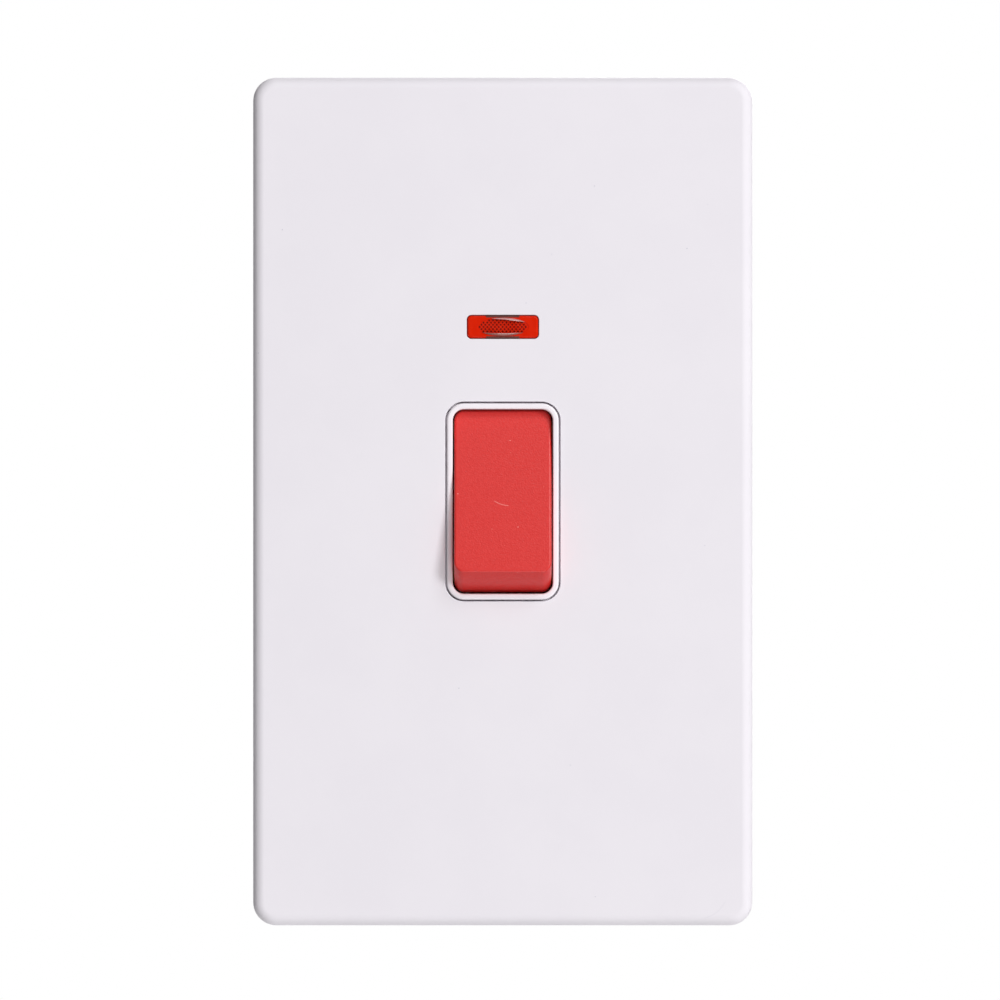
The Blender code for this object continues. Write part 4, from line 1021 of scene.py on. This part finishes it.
@dataclass
class FrontPlate:
    """The pressed and painted steel tray that shows from the front."""

    width: float = 0.086
    height: float = 0.146
    front: float = PLATE_FRONT
    wall_gap: float = 0.0002
    sheet: float = 0.001
    corner: float = 0.004
    roll: float = 0.002
    hole_edge: float = 0.00012
    rim_hole: tuple[float, float, float] = (0.0198, 0.03432, 0.00325)
    lens_hole: tuple[float, float, float] = (0.0124, 0.0041, 0.0008)
    prise: tuple[float, float] = (0.007, 0.0012)

    def hole(self, name: str, size: tuple[float, float, float], z: float) -> Piece:
        """Cutter for a hole through the sheet, from its width, height and corner."""
        wide, high, corner = size
        return Piece.rounded_box(name, (-wide / 2, self.front - MM, z - high / 2),
                                 (wide / 2, self.front + self.sheet + MM, z + high / 2),
                                 corner, 12)

    def build(self) -> None:
        """Press the tray, punch its holes and paint it."""
        back = -self.wall_gap
        plate = Piece.rounded_box("plate", (-self.width / 2, self.front, -self.height / 2),
                                  (self.width / 2, back, self.height / 2), self.corner, 12)
        plate.bevel(at(Axis.Y, self.front), self.roll, 12)
        plate.delete(at(Axis.Y, back))
        plate.apply("SOLIDIFY", thickness=self.sheet, offset=-1.0, use_even_offset=True)
        wide, deep = self.prise
        bottom = -self.height / 2
        plate.carve(
            self.hole("rim_hole", self.rim_hole, 0.0),
            self.hole("lens_hole", self.lens_hole, NEON_Z),
            Piece.box("prise_slot", (-wide / 2, back - deep, bottom - MM),
                      (wide / 2, MM, bottom + self.sheet + self.roll / 2)))
        for size, z in ((self.rim_hole, 0.0), (self.lens_hole, NEON_Z)):
            reach = Vector((size[0] / 2, 0.0, size[1] / 2))
            middle = Vector((0.0, self.front, z))
            plate.bevel(both(at(Axis.Y, self.front), within(middle - reach, middle + reach)),
                        self.hole_edge, 3)
        plate.smooth(30.0).fit(Body.HOUSING, Slot.PAINTED_PLATE, PAINT, "front_plate")


@dataclass
class SwitchCover:
    """The white moulding whose rim stands round the rocker."""

    front: float = -0.0064
    shoulder_front: float = -0.0047
    flange_front: float = -0.0042
    back: float = -0.0025
    width: float = 0.058
    height: float = 0.0514
    corner: float = 0.002
    opening: tuple[float, float, float] = (0.0172, 0.03172, 0.00195)
    rim_wall: float = 0.001
    shoulder_wall: float = 0.0017
    rim_round: float = 0.00036
    opening_round: float = 0.00028
    swing_radius: float = 0.01695
    screw_places: tuple[tuple[float, float], ...] = (
        (MODULE_X, MODULE_Z), (-MODULE_X, MODULE_Z), (MODULE_X, -MODULE_Z),
        (-MODULE_X, -MODULE_Z))
    boss_places: tuple[tuple[float, float], ...] = (
        (BOSS_X, 0.0), (-BOSS_X, 0.0), (0.0, BOSS_Z), (0.0, -BOSS_Z))
    flange_round: float = 0.0003
    boss: tuple[float, float] = (0.0024, 0.004)       # radius and back end
    pilot: tuple[float, float] = (0.0016, 0.006)
    screw_hole: float = 0.0016
    recess: tuple[float, float] = (0.0025, -0.0032)   # radius and floor
    pad_x: tuple[float, float] = (0.00915, 0.01075)
    pad_half: float = 0.002
    pad_gap: float = 0.00225          # from the rocker's axis
    outside: float = -0.007           # in front of all of the cover

    def ring(self, name: str, grow: float, front: float, back: float,
             segments: int = 14) -> Piece:
        """A rounded block that follows the opening.

        Args:
            name: Name of the piece.
            grow: How far it stands out of the opening's outline.
            front: Its front face.
            back: Its back face.
            segments: Facets in each corner.

        Returns:
            The block.
        """
        wide, high, corner = self.opening
        half = Vector((wide / 2 + grow, 0.0, high / 2 + grow))
        return Piece.rounded_box(name, (-half.x, front, -half.z), (half.x, back, half.z),
                                 corner + grow, segments)

    def mouth(self, steps: int = 6) -> Piece:
        """Cutter for the opening, with its front edge flared to a round.

        Args:
            steps: Facets in the round.

        Returns:
            The cutter.
        """
        wide, high, _ = self.opening
        level = self.front + self.opening_round
        cutter = self.ring("opening", 0.0, level, self.back + 2 * MM)
        out = grown = 0.0
        for step in range(1, steps + 1):
            angle = math.radians(90) * step / steps
            far = self.opening_round * math.sin(angle)
            grow = self.opening_round * (1 - math.cos(angle))
            cutter.extrude(at(Axis.Y, level - out), (0.0, out - far, 0.0),
                           ((wide + 2 * grow) / (wide + 2 * grown), 1.0,
                            (high + 2 * grow) / (high + 2 * grown)))
            out, grown = far, grow
        return cutter.extrude(at(Axis.Y, level - out), (0.0, -MM, 0.0))

    def build(self) -> None:
        """Mould the flange, the shoulder, the rim and the bosses."""
        cover = Piece.rounded_box("cover", (-self.width / 2, self.flange_front,
                                            -self.height / 2),
                                  (self.width / 2, self.back, self.height / 2), self.corner, 6)
        cover.bevel(at(Axis.Y, self.flange_front), self.flange_round, 2)
        rim = self.ring("rim", self.rim_wall, self.front, self.shoulder_front + MM / 2)
        rim.bevel(at(Axis.Y, self.front), self.rim_round, 6)
        shoulder = self.ring("shoulder", self.rim_wall + self.shoulder_wall,
                             self.shoulder_front, self.flange_front + MM / 2)
        cover.fuse(shoulder, rim)
        sunk = self.back - MM / 2
        radius, end = self.boss
        for x, z in self.boss_places:
            cover.fuse(Piece.rod("boss", (x, sunk, z), (x, end, z), radius))
        for side in (-1, 1):
            low, high = sorted(side * x for x in self.pad_x)
            cover.fuse(Piece.box("trunnion_pad", (low, sunk, -self.pad_half),
                                 (high, PIVOT_Y - self.pad_gap, self.pad_half)))
        wide, high, corner = self.opening
        opening = self.mouth()
        swing = Piece.rod("swing", (-wide / 2, PIVOT_Y, 0.0),
                          (wide / 2, PIVOT_Y, 0.0), self.swing_radius, 192)
        for side in (-1, 1):
            swing.bevel(at(Axis.X, side * wide / 2), corner, 8)
        opening.fuse(swing.cut_off((0.0, self.back + 2 * MM, 0.0), (0.0, 1.0, 0.0)))
        cover.carve(opening)
        radius, end = self.pilot
        for x, z in self.boss_places:
            cover.carve(Piece.rod("pilot", (x, sunk, z), (x, end, z), radius, 24))
        radius, end = self.recess
        for x, z in self.screw_places:
            cover.carve(Piece.rod("hole", (x, self.outside, z), (x, 0.0, z), self.screw_hole, 24),
                        Piece.rod("recess", (x, self.outside, z), (x, end, z), radius, 32))
        cover.smooth(34.0).fit(Body.HOUSING, Slot.WHITE_MOULDING, WHITE, "switch_cover")


@dataclass
class Rocker:
    """The red rocker, shown off: its top is in and its lower end stands out."""

    width: float = 0.0167
    reach: float = 0.0165
    face: float = 0.00873
    wall: float = 0.0016
    corner: float = 0.0017
    fillet: tuple[tuple[float, float], ...] = ((0.00003, 0.00011), (0.00006, 0.00009),
                                               (0.00009, 0.00008), (0.00010, 0.00005),
                                               (0.00010, 0.00002))
    skirt: float = -0.002
    ear: float = 0.0032
    trunnion: tuple[float, float] = (0.002, 0.00225)
    web: tuple[float, float] = (0.0011, -0.0042)
    tube: tuple[float, float, float] = (0.00225, 0.00075, 0.006)
    bore_back: float = 0.008

    def cylinder(self, name: str, half: float, radius: float, sides: int) -> Piece:
        """A rod along the rocker's axis."""
        return Piece.rod(name, (-half, 0.0, 0.0), (half, 0.0, 0.0), radius, sides)

    def shell(self) -> Piece:
        """Shape the outside: two round ends about the pivot and a flat face.

        Returns:
            The solid form.
        """
        half = self.width / 2
        shell = self.cylinder("rocker_shell", half, self.reach, 288)
        for side in (-1, 1):
            shell.bevel(at(Axis.X, side * half), self.corner, 10)
        level = -self.face + sum(out for _, out in self.fillet)
        shell.cut_off((0.0, level, 0.0), (0.0, -1.0, 0.0))
        shell.cut_off((0.0, self.skirt, 0.0), (0.0, 1.0, 0.0))
        for rim, out in self.fillet:
            shell.inset(at(Axis.Y, level), rim, -out)
            level -= out
        return shell

    def build(self) -> None:
        """Hollow the shell and add its ribs, tubes and trunnions."""
        half = self.width / 2
        inner = half - self.wall
        shell = self.shell()
        shell.fuse(self.cylinder("ear", half, self.ear, 64))
        root = -self.face + self.wall
        hollow = self.cylinder("hollow", inner, self.reach - self.wall, 128)
        shell.carve(hollow.cut_off((0.0, root, 0.0), (0.0, -1.0, 0.0)))
        chord = math.sqrt(self.reach ** 2 - self.face ** 2)
        thick, web_back = self.web
        root -= MM / 2
        for z in (-chord / 2, 0.0, chord / 2):
            shell.fuse(Piece.box("web", (-inner - MM / 2, root, z - thick / 2),
                                 (inner + MM / 2, web_back, z + thick / 2)))
        bore, tube_wall, tube_back = self.tube
        radius, length = self.trunnion
        for side in (-1, 1):
            x = side * POLE_X
            shell.fuse(
                Piece.rod("tube", (x, root, 0.0), (x, tube_back, 0.0), bore + tube_wall),
                Piece.rod("trunnion", (side * (half - MM / 2), 0.0, 0.0),
                          (side * (half + length), 0.0, 0.0), radius))
        for side in (-1, 1):
            x = side * POLE_X
            shell.carve(Piece.rod("bore", (x, BORE_FRONT, 0.0), (x, self.bore_back, 0.0), bore))
        shell.smooth(34.0).turn(TILT, Axis.X, (0.0, 0.0, 0.0))
        shell.place(Matrix.Translation((0.0, PIVOT_Y, 0.0)))
        shell.fit(Body.ROCKER, Slot.RED_ROCKER, RED, "rocker")


@dataclass
class NeonLens:
    """The red window of the neon: a knurled middle between two smooth bulging edges, which are
    painted pale as reflections, with strips of painted shade above and below.
    """

    front: float = -0.0061
    width: float = 0.01216
    height: float = 0.00386
    corner: float = 0.00068
    edge: float = 0.00034
    flange: tuple[float, float, float, float] = (0.0156, 0.0068, -0.0047, -0.0037)
    wall: float = 0.0009
    dome: tuple[float, float, float] = (0.0045, 0.00062, 0.00158)
    pocket: float = 0.00012
    # upper and lower crescents, painted pale as reflections: the shift along X and Z of the scoop
    # that cuts each, and its size as a share of the dome
    brow: tuple[float, float, float] = (-0.00525, -0.00642, 5.0)
    lip: tuple[float, float, float] = (0.0, 0.00362, 3.0)
    knurl_rise: float = 0.00016
    knurl_share: float = 0.92         # of the dome's outline, squared
    # strips of painted shade above and below the knurl
    band: tuple[float, float, float] = (0.00572, 0.0004, 0.0006)   # width, height, depth
    band_round: float = 0.00012
    flange_corner: float = 0.001
    hollow_corner: float = 0.0004

    def knurl(self) -> Piece:
        """Small pyramids side by side over the domed part.

        Returns:
            The pyramids as one piece.
        """
        (wide, high), rise = KNURL_PITCH, self.knurl_rise
        bpy.ops.object.select_all(action="DESELECT")
        bpy.ops.mesh.primitive_cone_add(vertices=4, radius1=0.5, radius2=0.0, depth=1.0,
                                        rotation=(math.radians(90), 0.0, 0.0),
                                        scale=(wide, high, rise))
        tooth = Piece.fresh("tooth")
        half_wide, _, half_high = self.dome
        base = self.front + self.pocket
        teeth = []
        rows = int(half_high / (high / 2)) + 1
        columns = int(half_wide / (wide / 2)) + 1
        for row in range(-rows, rows + 1):
            for column in range(-columns, columns + 1):
                if (row + column) % 2:
                    continue
                x, z = column * wide / 2, row * high / 2
                if (x / half_wide) ** 2 + (z / half_high) ** 2 > self.knurl_share:
                    continue
                spot = Matrix.Translation((x, base - rise / 2, NEON_Z + z))
                teeth.append(tooth.copy("neon_lens_knurl").place(spot))
        bpy.data.objects.remove(tooth.obj, do_unlink=True)
        knurl = teeth[0]
        return knurl.merge(*teeth[1:])

    def build(self) -> None:
        """Mould the lens and its knurl, add its bulging edges painted pale as reflections, and
        its strips of painted shade.
        """
        half_wide, half_high = self.width / 2, self.height / 2
        flange_wide, flange_high, flange_front, flange_back = self.flange
        lens = Piece.rounded_box("neon_lens_body",
                                 (-half_wide, self.front, NEON_Z - half_high),
                                 (half_wide, flange_front + MM / 4, NEON_Z + half_high),
                                 self.corner, 10)
        lens.bevel(at(Axis.Y, self.front), self.edge, 4)
        lens.fuse(Piece.rounded_box("flange",
                                    (-flange_wide / 2, flange_front, NEON_Z - flange_high / 2),
                                    (flange_wide / 2, flange_back, NEON_Z + flange_high / 2),
                                    self.flange_corner, 6))
        lens.carve(Piece.rounded_box("hollow", (-half_wide + self.wall,
                                                self.front + self.wall,
                                                NEON_Z - half_high + self.wall),
                                     (half_wide - self.wall, flange_back + MM,
                                      NEON_Z + half_high - self.wall), self.hollow_corner, 6))
        reach, rise, tall = self.dome
        sinker = Piece.rod("sinker", (0.0, -MM, 0.0), (0.0, self.pocket, 0.0), 1.0, 64)
        sinker.place(Matrix.Translation((0.0, self.front, NEON_Z))
                     @ Matrix.Diagonal((reach, 1.0, tall, 1.0)))
        lens.carve(sinker)
        lens.smooth(34.0).fit(Body.HOUSING, Slot.RED_LENS, LENS, "neon_lens")
        self.knurl().fit(Body.HOUSING, Slot.RED_LENS, KNURL)
        # crescents of the dome, bulging and glossy, and painted pale as reflections of the bright
        # surroundings above and below
        for word, (aside, up, size), finish in (("brow", self.brow, PAINTED_BROW_REFLECTION),
                                                ("lip", self.lip, PAINTED_LIP_REFLECTION)):
            bulge = Piece.ball(f"neon_lens_{word}", (0.0, self.front + MM / 50, NEON_Z),
                               (reach, rise, tall), 32)
            bulge.cut_off((0.0, self.front + MM / 50, 0.0), (0.0, 1.0, 0.0))
            scoop = Piece.rod("scoop", (0.0, -2 * MM, 0.0), (0.0, 2 * MM, 0.0), size, 256)
            bulge.carve(scoop.place(Matrix.Translation((aside, self.front, NEON_Z + up))
                                    @ Matrix.Diagonal((reach, 1.0, tall, 1.0))))
            bulge.smooth(40.0).fit(Body.HOUSING, Slot.RED_LENS, finish)
        # painted shade: dark strips over the lens where its recess looks dark
        band_wide, band_high, band_deep = self.band
        for word, level in (("top", 1), ("bottom", -1)):
            outer = NEON_Z + level * (half_high + MM / 100)
            inner = NEON_Z + level * (half_high - band_high)
            low, high = sorted((outer, inner))
            face = self.front - MM / 100
            band = Piece.box(f"neon_lens_band_{word}", (-band_wide / 2, face, low),
                             (band_wide / 2, self.front + band_deep, high))
            band.bevel(both(at(Axis.Y, face), along(Axis.X)), self.band_round, 3)
            band.smooth(30.0).fit(Body.HOUSING, Slot.RED_LENS, LENS_RECESS_SHADE)


@dataclass
class SlottedScrew:
    """A slotted machine screw along Y, with its thread cut as rings."""

    places: dict[str, tuple[float, float]]
    seat: float
    tip: float
    radius: float
    head_radius: float
    head: float
    pitch: float = 0.0007
    slot: tuple[float, float] = (0.0008, 0.0008)

    def thread(self) -> Piece:
        """Shank with its thread, from inside the head to the tip.

        Returns:
            The shank.
        """
        inwards = 1.0 if self.tip > self.seat else -1.0
        root = self.radius - 0.42 * self.pitch
        start = self.seat - inwards * self.head / 2
        neck = self.seat + inwards * self.pitch / 2
        shank = Piece.rod("shank", (0.0, start, 0.0), (0.0, neck, 0.0), root, 24)
        out, back = self.radius / root, root / self.radius
        turn = ((0.3, out), (0.15, 1.0), (0.3, back), (0.25, 1.0))
        turns = int((abs(self.tip - neck) - self.pitch / 2) / self.pitch)
        steps = [((0.0, inwards * share * self.pitch, 0.0), (size, 1.0, size))
                 for _ in range(turns) for share, size in turn]
        left = self.tip - neck - inwards * turns * self.pitch
        steps.append(((0.0, left, 0.0), (0.8, 1.0, 0.8)))
        return shank.draw_out(at(Axis.Y, neck), steps)

    def build(self) -> None:
        """Turn the head, cut its slot, join the shank and set a copy at every place."""
        outwards = -1.0 if self.tip > self.seat else 1.0
        top = self.seat + outwards * self.head
        screw = Piece.rod("screw", (0.0, self.seat, 0.0), (0.0, top, 0.0), self.head_radius, 40)
        screw.bevel(at(Axis.Y, top), 0.18 * self.head, 3)
        screw.bevel(at(Axis.Y, self.seat), 0.06 * self.head, 2)
        wide, deep = self.slot
        low, high = sorted((top - outwards * deep, top + outwards * MM))
        screw.carve(Piece.box("slot", (-self.head_radius - MM, low, -wide / 2),
                              (self.head_radius + MM, high, wide / 2)))
        screw.fuse(self.thread())
        screw.smooth(30.0)
        for node, (x, z) in self.places.items():
            copy = screw.copy(f"{node}_turned").place(Matrix.Translation((x, 0.0, z)))
            copy.fit(Body.HOUSING, Slot.ZINC_STEEL, ZINC, node)
        bpy.data.objects.remove(screw.obj, do_unlink=True)


@dataclass
class Screws:
    """All the screws of the switch."""

    fixing_z: float = 0.0603
    clamp: tuple[float, float] = (0.0162, 0.01685)
    earth_z: float = -0.038

    def build(self) -> None:
        """Build every kind and set its copies."""
        kinds = [
            SlottedScrew({"fixing_screw_top": (0.0, self.fixing_z),
                          "fixing_screw_bottom": (0.0, -self.fixing_z)},
                         seat=-0.0025, tip=0.02, radius=0.00175, head_radius=0.0034,
                         head=0.0019),
            SlottedScrew({f"body_screw_{number}": place
                          for number, place in enumerate(SwitchCover.boss_places, start=1)},
                         seat=0.022, tip=-0.0027, radius=0.0014, head_radius=0.0027,
                         head=0.0016, pitch=0.0009),
            SlottedScrew({f"clamp_screw_{row}_{hand.word}":
                          (hand.value * self.clamp[0], level * self.clamp[1])
                          for row, level in (("load", 1), ("supply", -1)) for hand in Hand},
                         seat=0.0213, tip=0.0176, radius=0.0023, head_radius=0.0028,
                         head=0.0018),
            SlottedScrew({"earth_screw": (0.0, self.earth_z)},
                         seat=0.0115, tip=0.00765, radius=0.0018, head_radius=0.0028,
                         head=0.0018),
            SlottedScrew({f"module_screw_{number}": (x * MODULE_X, z * MODULE_Z)
                          for number, (x, z) in enumerate(((-1, -1), (-1, 1), (1, -1), (1, 1)),
                                                          start=1)},
                         seat=-0.0035, tip=-0.0004, radius=0.0014, head_radius=0.0022,
                         head=0.0012, pitch=0.0009)]
        for kind in kinds:
            kind.build()


@dataclass
class SoftenedPieces:
    """CAD pieces shown as copies with their moulded, pressed or sawn edges softened."""

    edges: tuple[tuple[str, float, Slot, Finish], ...] = (    # * stands for left and right
        ("support_frame", 0.00022, Slot.FRAME_MOULDING, FRAME_WHITE),
        ("switch_body", 0.0003, Slot.THERMOSET, THERMOSET),
        ("neon_holder", 0.0002, Slot.FRAME_MOULDING, FRAME_WHITE),
        ("load_terminal_*", 0.00012, Slot.BRASS, BRASS),
        ("supply_terminal_*", 0.00012, Slot.BRASS, BRASS),
        ("earth_terminal", 0.00012, Slot.BRASS, BRASS),
        ("earth_strap", 0.0001, Slot.ZINC_STEEL, ZINC),
        ("contact_lever_*", 0.0001, Slot.COPPER, COPPER),
        ("moving_contact_*", 0.00006, Slot.SILVER_CONTACT, SILVER),
        ("fixed_contact_*", 0.00006, Slot.SILVER_CONTACT, SILVER),
        ("plunger_*", 0.00012, Slot.ACETAL, ACETAL),
        ("neon_lead_*", 0.0, Slot.LEAD_INSULATION, INSULATION),
        ("lamp_link", 0.0, Slot.ZINC_STEEL, ZINC))
    sharpest: float = math.radians(48)

    def build(self, frame: dict) -> None:
        """Copy each piece, soften its edges and show the copy in its place.
        """
        for label, width, slot, finish in self.edges:
            for word in [hand.word for hand in Hand] if "*" in label else [""]:
                node = label.replace("*", word)
                piece = Piece.from_node(frame, node)
                if width:
                    piece.apply("BEVEL", width=width, segments=2, limit_method="ANGLE",
                                angle_limit=self.sharpest, use_clamp_overlap=True)
                body = Body(frame["nodes"][node]["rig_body"])
                piece.smooth(36.0 if width else 60.0).fit(body, slot, finish, node)


@dataclass
class PlungerSprings:
    """The coil springs behind the plungers; a real one shortens as its plunger slides in, and
    these copies keep their length.
    """

    plunger_base: float = 0.0028
    travel: float = 0.0012

    def build(self, frame: dict) -> None:
        """Show a smooth copy of each coil in its place.
        """
        for hand in Hand:
            node = f"plunger_spring_{hand.word}"
            coil = Piece.from_node(frame, node).smooth(60.0)
            coil.fit(Body.ROCKER, Slot.ZINC_STEEL, ZINC, node)
            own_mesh(coil.obj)


@dataclass
class NeonLampParts:
    """The neon's glass, its two electrodes and its banded resistor."""

    lamp_y: float = -0.0006
    lamp_radius: float = 0.0022
    lamp_half: float = 0.005
    resistor_y: float = 0.0031
    resistor_radius: float = 0.0012
    resistor_half: float = 0.0032
    bands: tuple[float, ...] = (-0.0019, -0.0009, 0.0001, 0.0016)
    band: tuple[float, float] = (0.00018, 0.00003)    # half width, and height over the coat
    slim: float = 0.86                # the coat's radius, as a share of the caps'
    cap: tuple[float, float] = (0.00065, 0.00035)     # half length, and rounding
    electrode: tuple[float, float, float] = (0.6, 0.00036, 0.0007)   # share, radius, height
    electrode_round: float = 0.00015

    def rod(self, name: str, level: float, half: float, radius: float, middle: float = 0.0,
            up: float = 0.0) -> Piece:
        """A rod along X behind the lens."""
        return Piece.rod(name, (middle - half, level, NEON_Z + up),
                         (middle + half, level, NEON_Z + up), radius, 40)

    def build(self) -> None:
        """Blow the glass, set the electrodes and build the resistor."""
        glass = self.rod("neon_lamp_glass", self.lamp_y, self.lamp_half, self.lamp_radius)
        for side in (-1, 1):
            glass.bevel(at(Axis.X, side * self.lamp_half), 0.7 * self.lamp_radius, 8)
        glass.smooth(50.0).fit(Body.HOUSING, Slot.LAMP_GLASS, GLASS, "neon_lamp")
        share, radius, up = self.electrode
        half = share * self.lamp_half
        for word, side in (("upper", 1), ("lower", -1)):
            wire = self.rod(f"neon_electrode_{word}", self.lamp_y, half, radius, 0.0, side * up)
            for end in (-1, 1):
                wire.bevel(at(Axis.X, end * half), self.electrode_round, 3)
            wire.smooth(50.0).fit(Body.HOUSING, Slot.ZINC_STEEL, ELECTRODE)
        slim = self.slim * self.resistor_radius
        coat = self.rod("neon_resistor_coat", self.resistor_y, self.resistor_half, slim)
        cap_half, cap_round = self.cap
        for side in (-1, 1):
            middle = side * (self.resistor_half - cap_half)
            cap = self.rod("cap", self.resistor_y, cap_half, self.resistor_radius, middle)
            for end in (-1, 1):
                cap.bevel(at(Axis.X, middle + end * cap_half), cap_round, 4)
            coat.fuse(cap)
        coat.smooth(50.0).fit(Body.HOUSING, Slot.RESISTOR_COAT, RESISTOR, "neon_resistor")
        band_half, band_rise = self.band
        for number, middle in enumerate(self.bands, start=1):
            ring = self.rod(f"neon_resistor_band_{number}", self.resistor_y, band_half,
                            slim + band_rise, middle)
            ring.smooth(40.0).fit(Body.HOUSING, Slot.RESISTOR_COAT, BAND)


@dataclass
class Studio:
    """Camera, lamps, world and floor."""

    frame_width: float = 0.1718       # what the picture spans at the plate's face
    lens: float = 150.0
    sensor: float = 36.0
    aim: tuple[float, float] = (-0.00048, 0.00026)
    ambient: float = 0.15
    floor_size: float = 1.6
    floor_place: Point = (0.0, 0.72, -0.30)
    lamps: tuple[tuple[str, Point, tuple[float, float], float], ...] = (
        ("key", (2.05, -2.65, 1.0), (0.9, 0.9), 57.0),
        ("above", (0.6, -1.4, 1.6), (1.4, 0.8), 20.0),
        ("below", (0.45, -1.5, -1.6), (1.3, 0.9), 18.0),
        ("behind", (0.9, 2.4, 1.2), (1.6, 1.6), 62.0))

    def camera(self) -> None:
        """Put the camera square in front of the plate."""
        data = bpy.data.cameras.new("camera")
        data.lens, data.sensor_width = self.lens, self.sensor
        data.clip_start, data.clip_end = 0.01, 50.0
        camera = bpy.data.objects.new("camera", data)
        distance = self.frame_width * self.lens / self.sensor
        camera.location = (self.aim[0], PLATE_FRONT - distance, self.aim[1])
        camera.rotation_euler = (math.radians(90), 0.0, 0.0)
        bpy.context.scene.collection.objects.link(camera)
        bpy.context.scene.camera = camera

    def lamp(self, name: str, place: Point, size: tuple[float, float], power: float) -> None:
        """Hang a soft rectangular lamp that looks at the switch.

        Args:
            name: Name of the lamp.
            place: Where it hangs.
            size: Its width and height.
            power: Its power in watts.
        """
        data = bpy.data.lights.new(name, "AREA")
        data.shape = "RECTANGLE"
        data.size, data.size_y = size
        data.energy = power
        lamp = bpy.data.objects.new(name, data)
        lamp.location = place
        lamp.rotation_euler = (-Vector(place)).to_track_quat("-Z", "Y").to_euler()
        bpy.context.scene.collection.objects.link(lamp)

    def world(self) -> None:
        """Show white to the camera and in reflections, and light plainly otherwise."""
        world = bpy.data.worlds.new("studio")
        world.use_nodes = True
        world.node_tree.nodes.clear()
        bench = NodeBench(world.node_tree)
        path = bench.add("ShaderNodeLightPath")
        seen = bench.math("MAXIMUM", path.outputs["Is Camera Ray"],
                          bench.math("MAXIMUM", path.outputs["Is Glossy Ray"],
                                     path.outputs["Is Transmission Ray"]))
        background = bench.add("ShaderNodeBackground")
        background.inputs["Color"].default_value = (1.0, 1.0, 1.0, 1.0)
        bench.link(bench.spread(seen, 0.0, 1.0, self.ambient, 1.0),
                   background.inputs["Strength"])
        output = bench.add("ShaderNodeOutputWorld")
        bench.link(background.outputs["Background"], output.inputs["Surface"])
        bpy.context.scene.world = world

    def floor(self) -> None:
        """Lay a plain pale floor well below the switch."""
        bpy.ops.object.select_all(action="DESELECT")
        bpy.ops.mesh.primitive_plane_add(size=self.floor_size, location=self.floor_place)
        floor = bpy.context.object
        floor.name = "floor"
        floor.data.materials.append(PALE.material())

    def build(self) -> None:
        """Set up the whole studio."""
        bpy.context.scene.view_settings.view_transform = "Standard"
        self.camera()
        for name, place, size, power in self.lamps:
            self.lamp(name, place, size, power)
        self.world()
        self.floor()


def main() -> None:
    """Build the switch's looks round its frame."""
    logging.basicConfig(level=logging.INFO, format="%(name)s: %(message)s")
    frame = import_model()
    SoftenedPieces().build(frame)
    PlungerSprings().build(frame)
    for part in (FrontPlate(), SwitchCover(), Rocker(), NeonLens(), NeonLampParts(), Screws(),
                 Studio()):
        part.build()


if __name__ == "__main__":
    main()
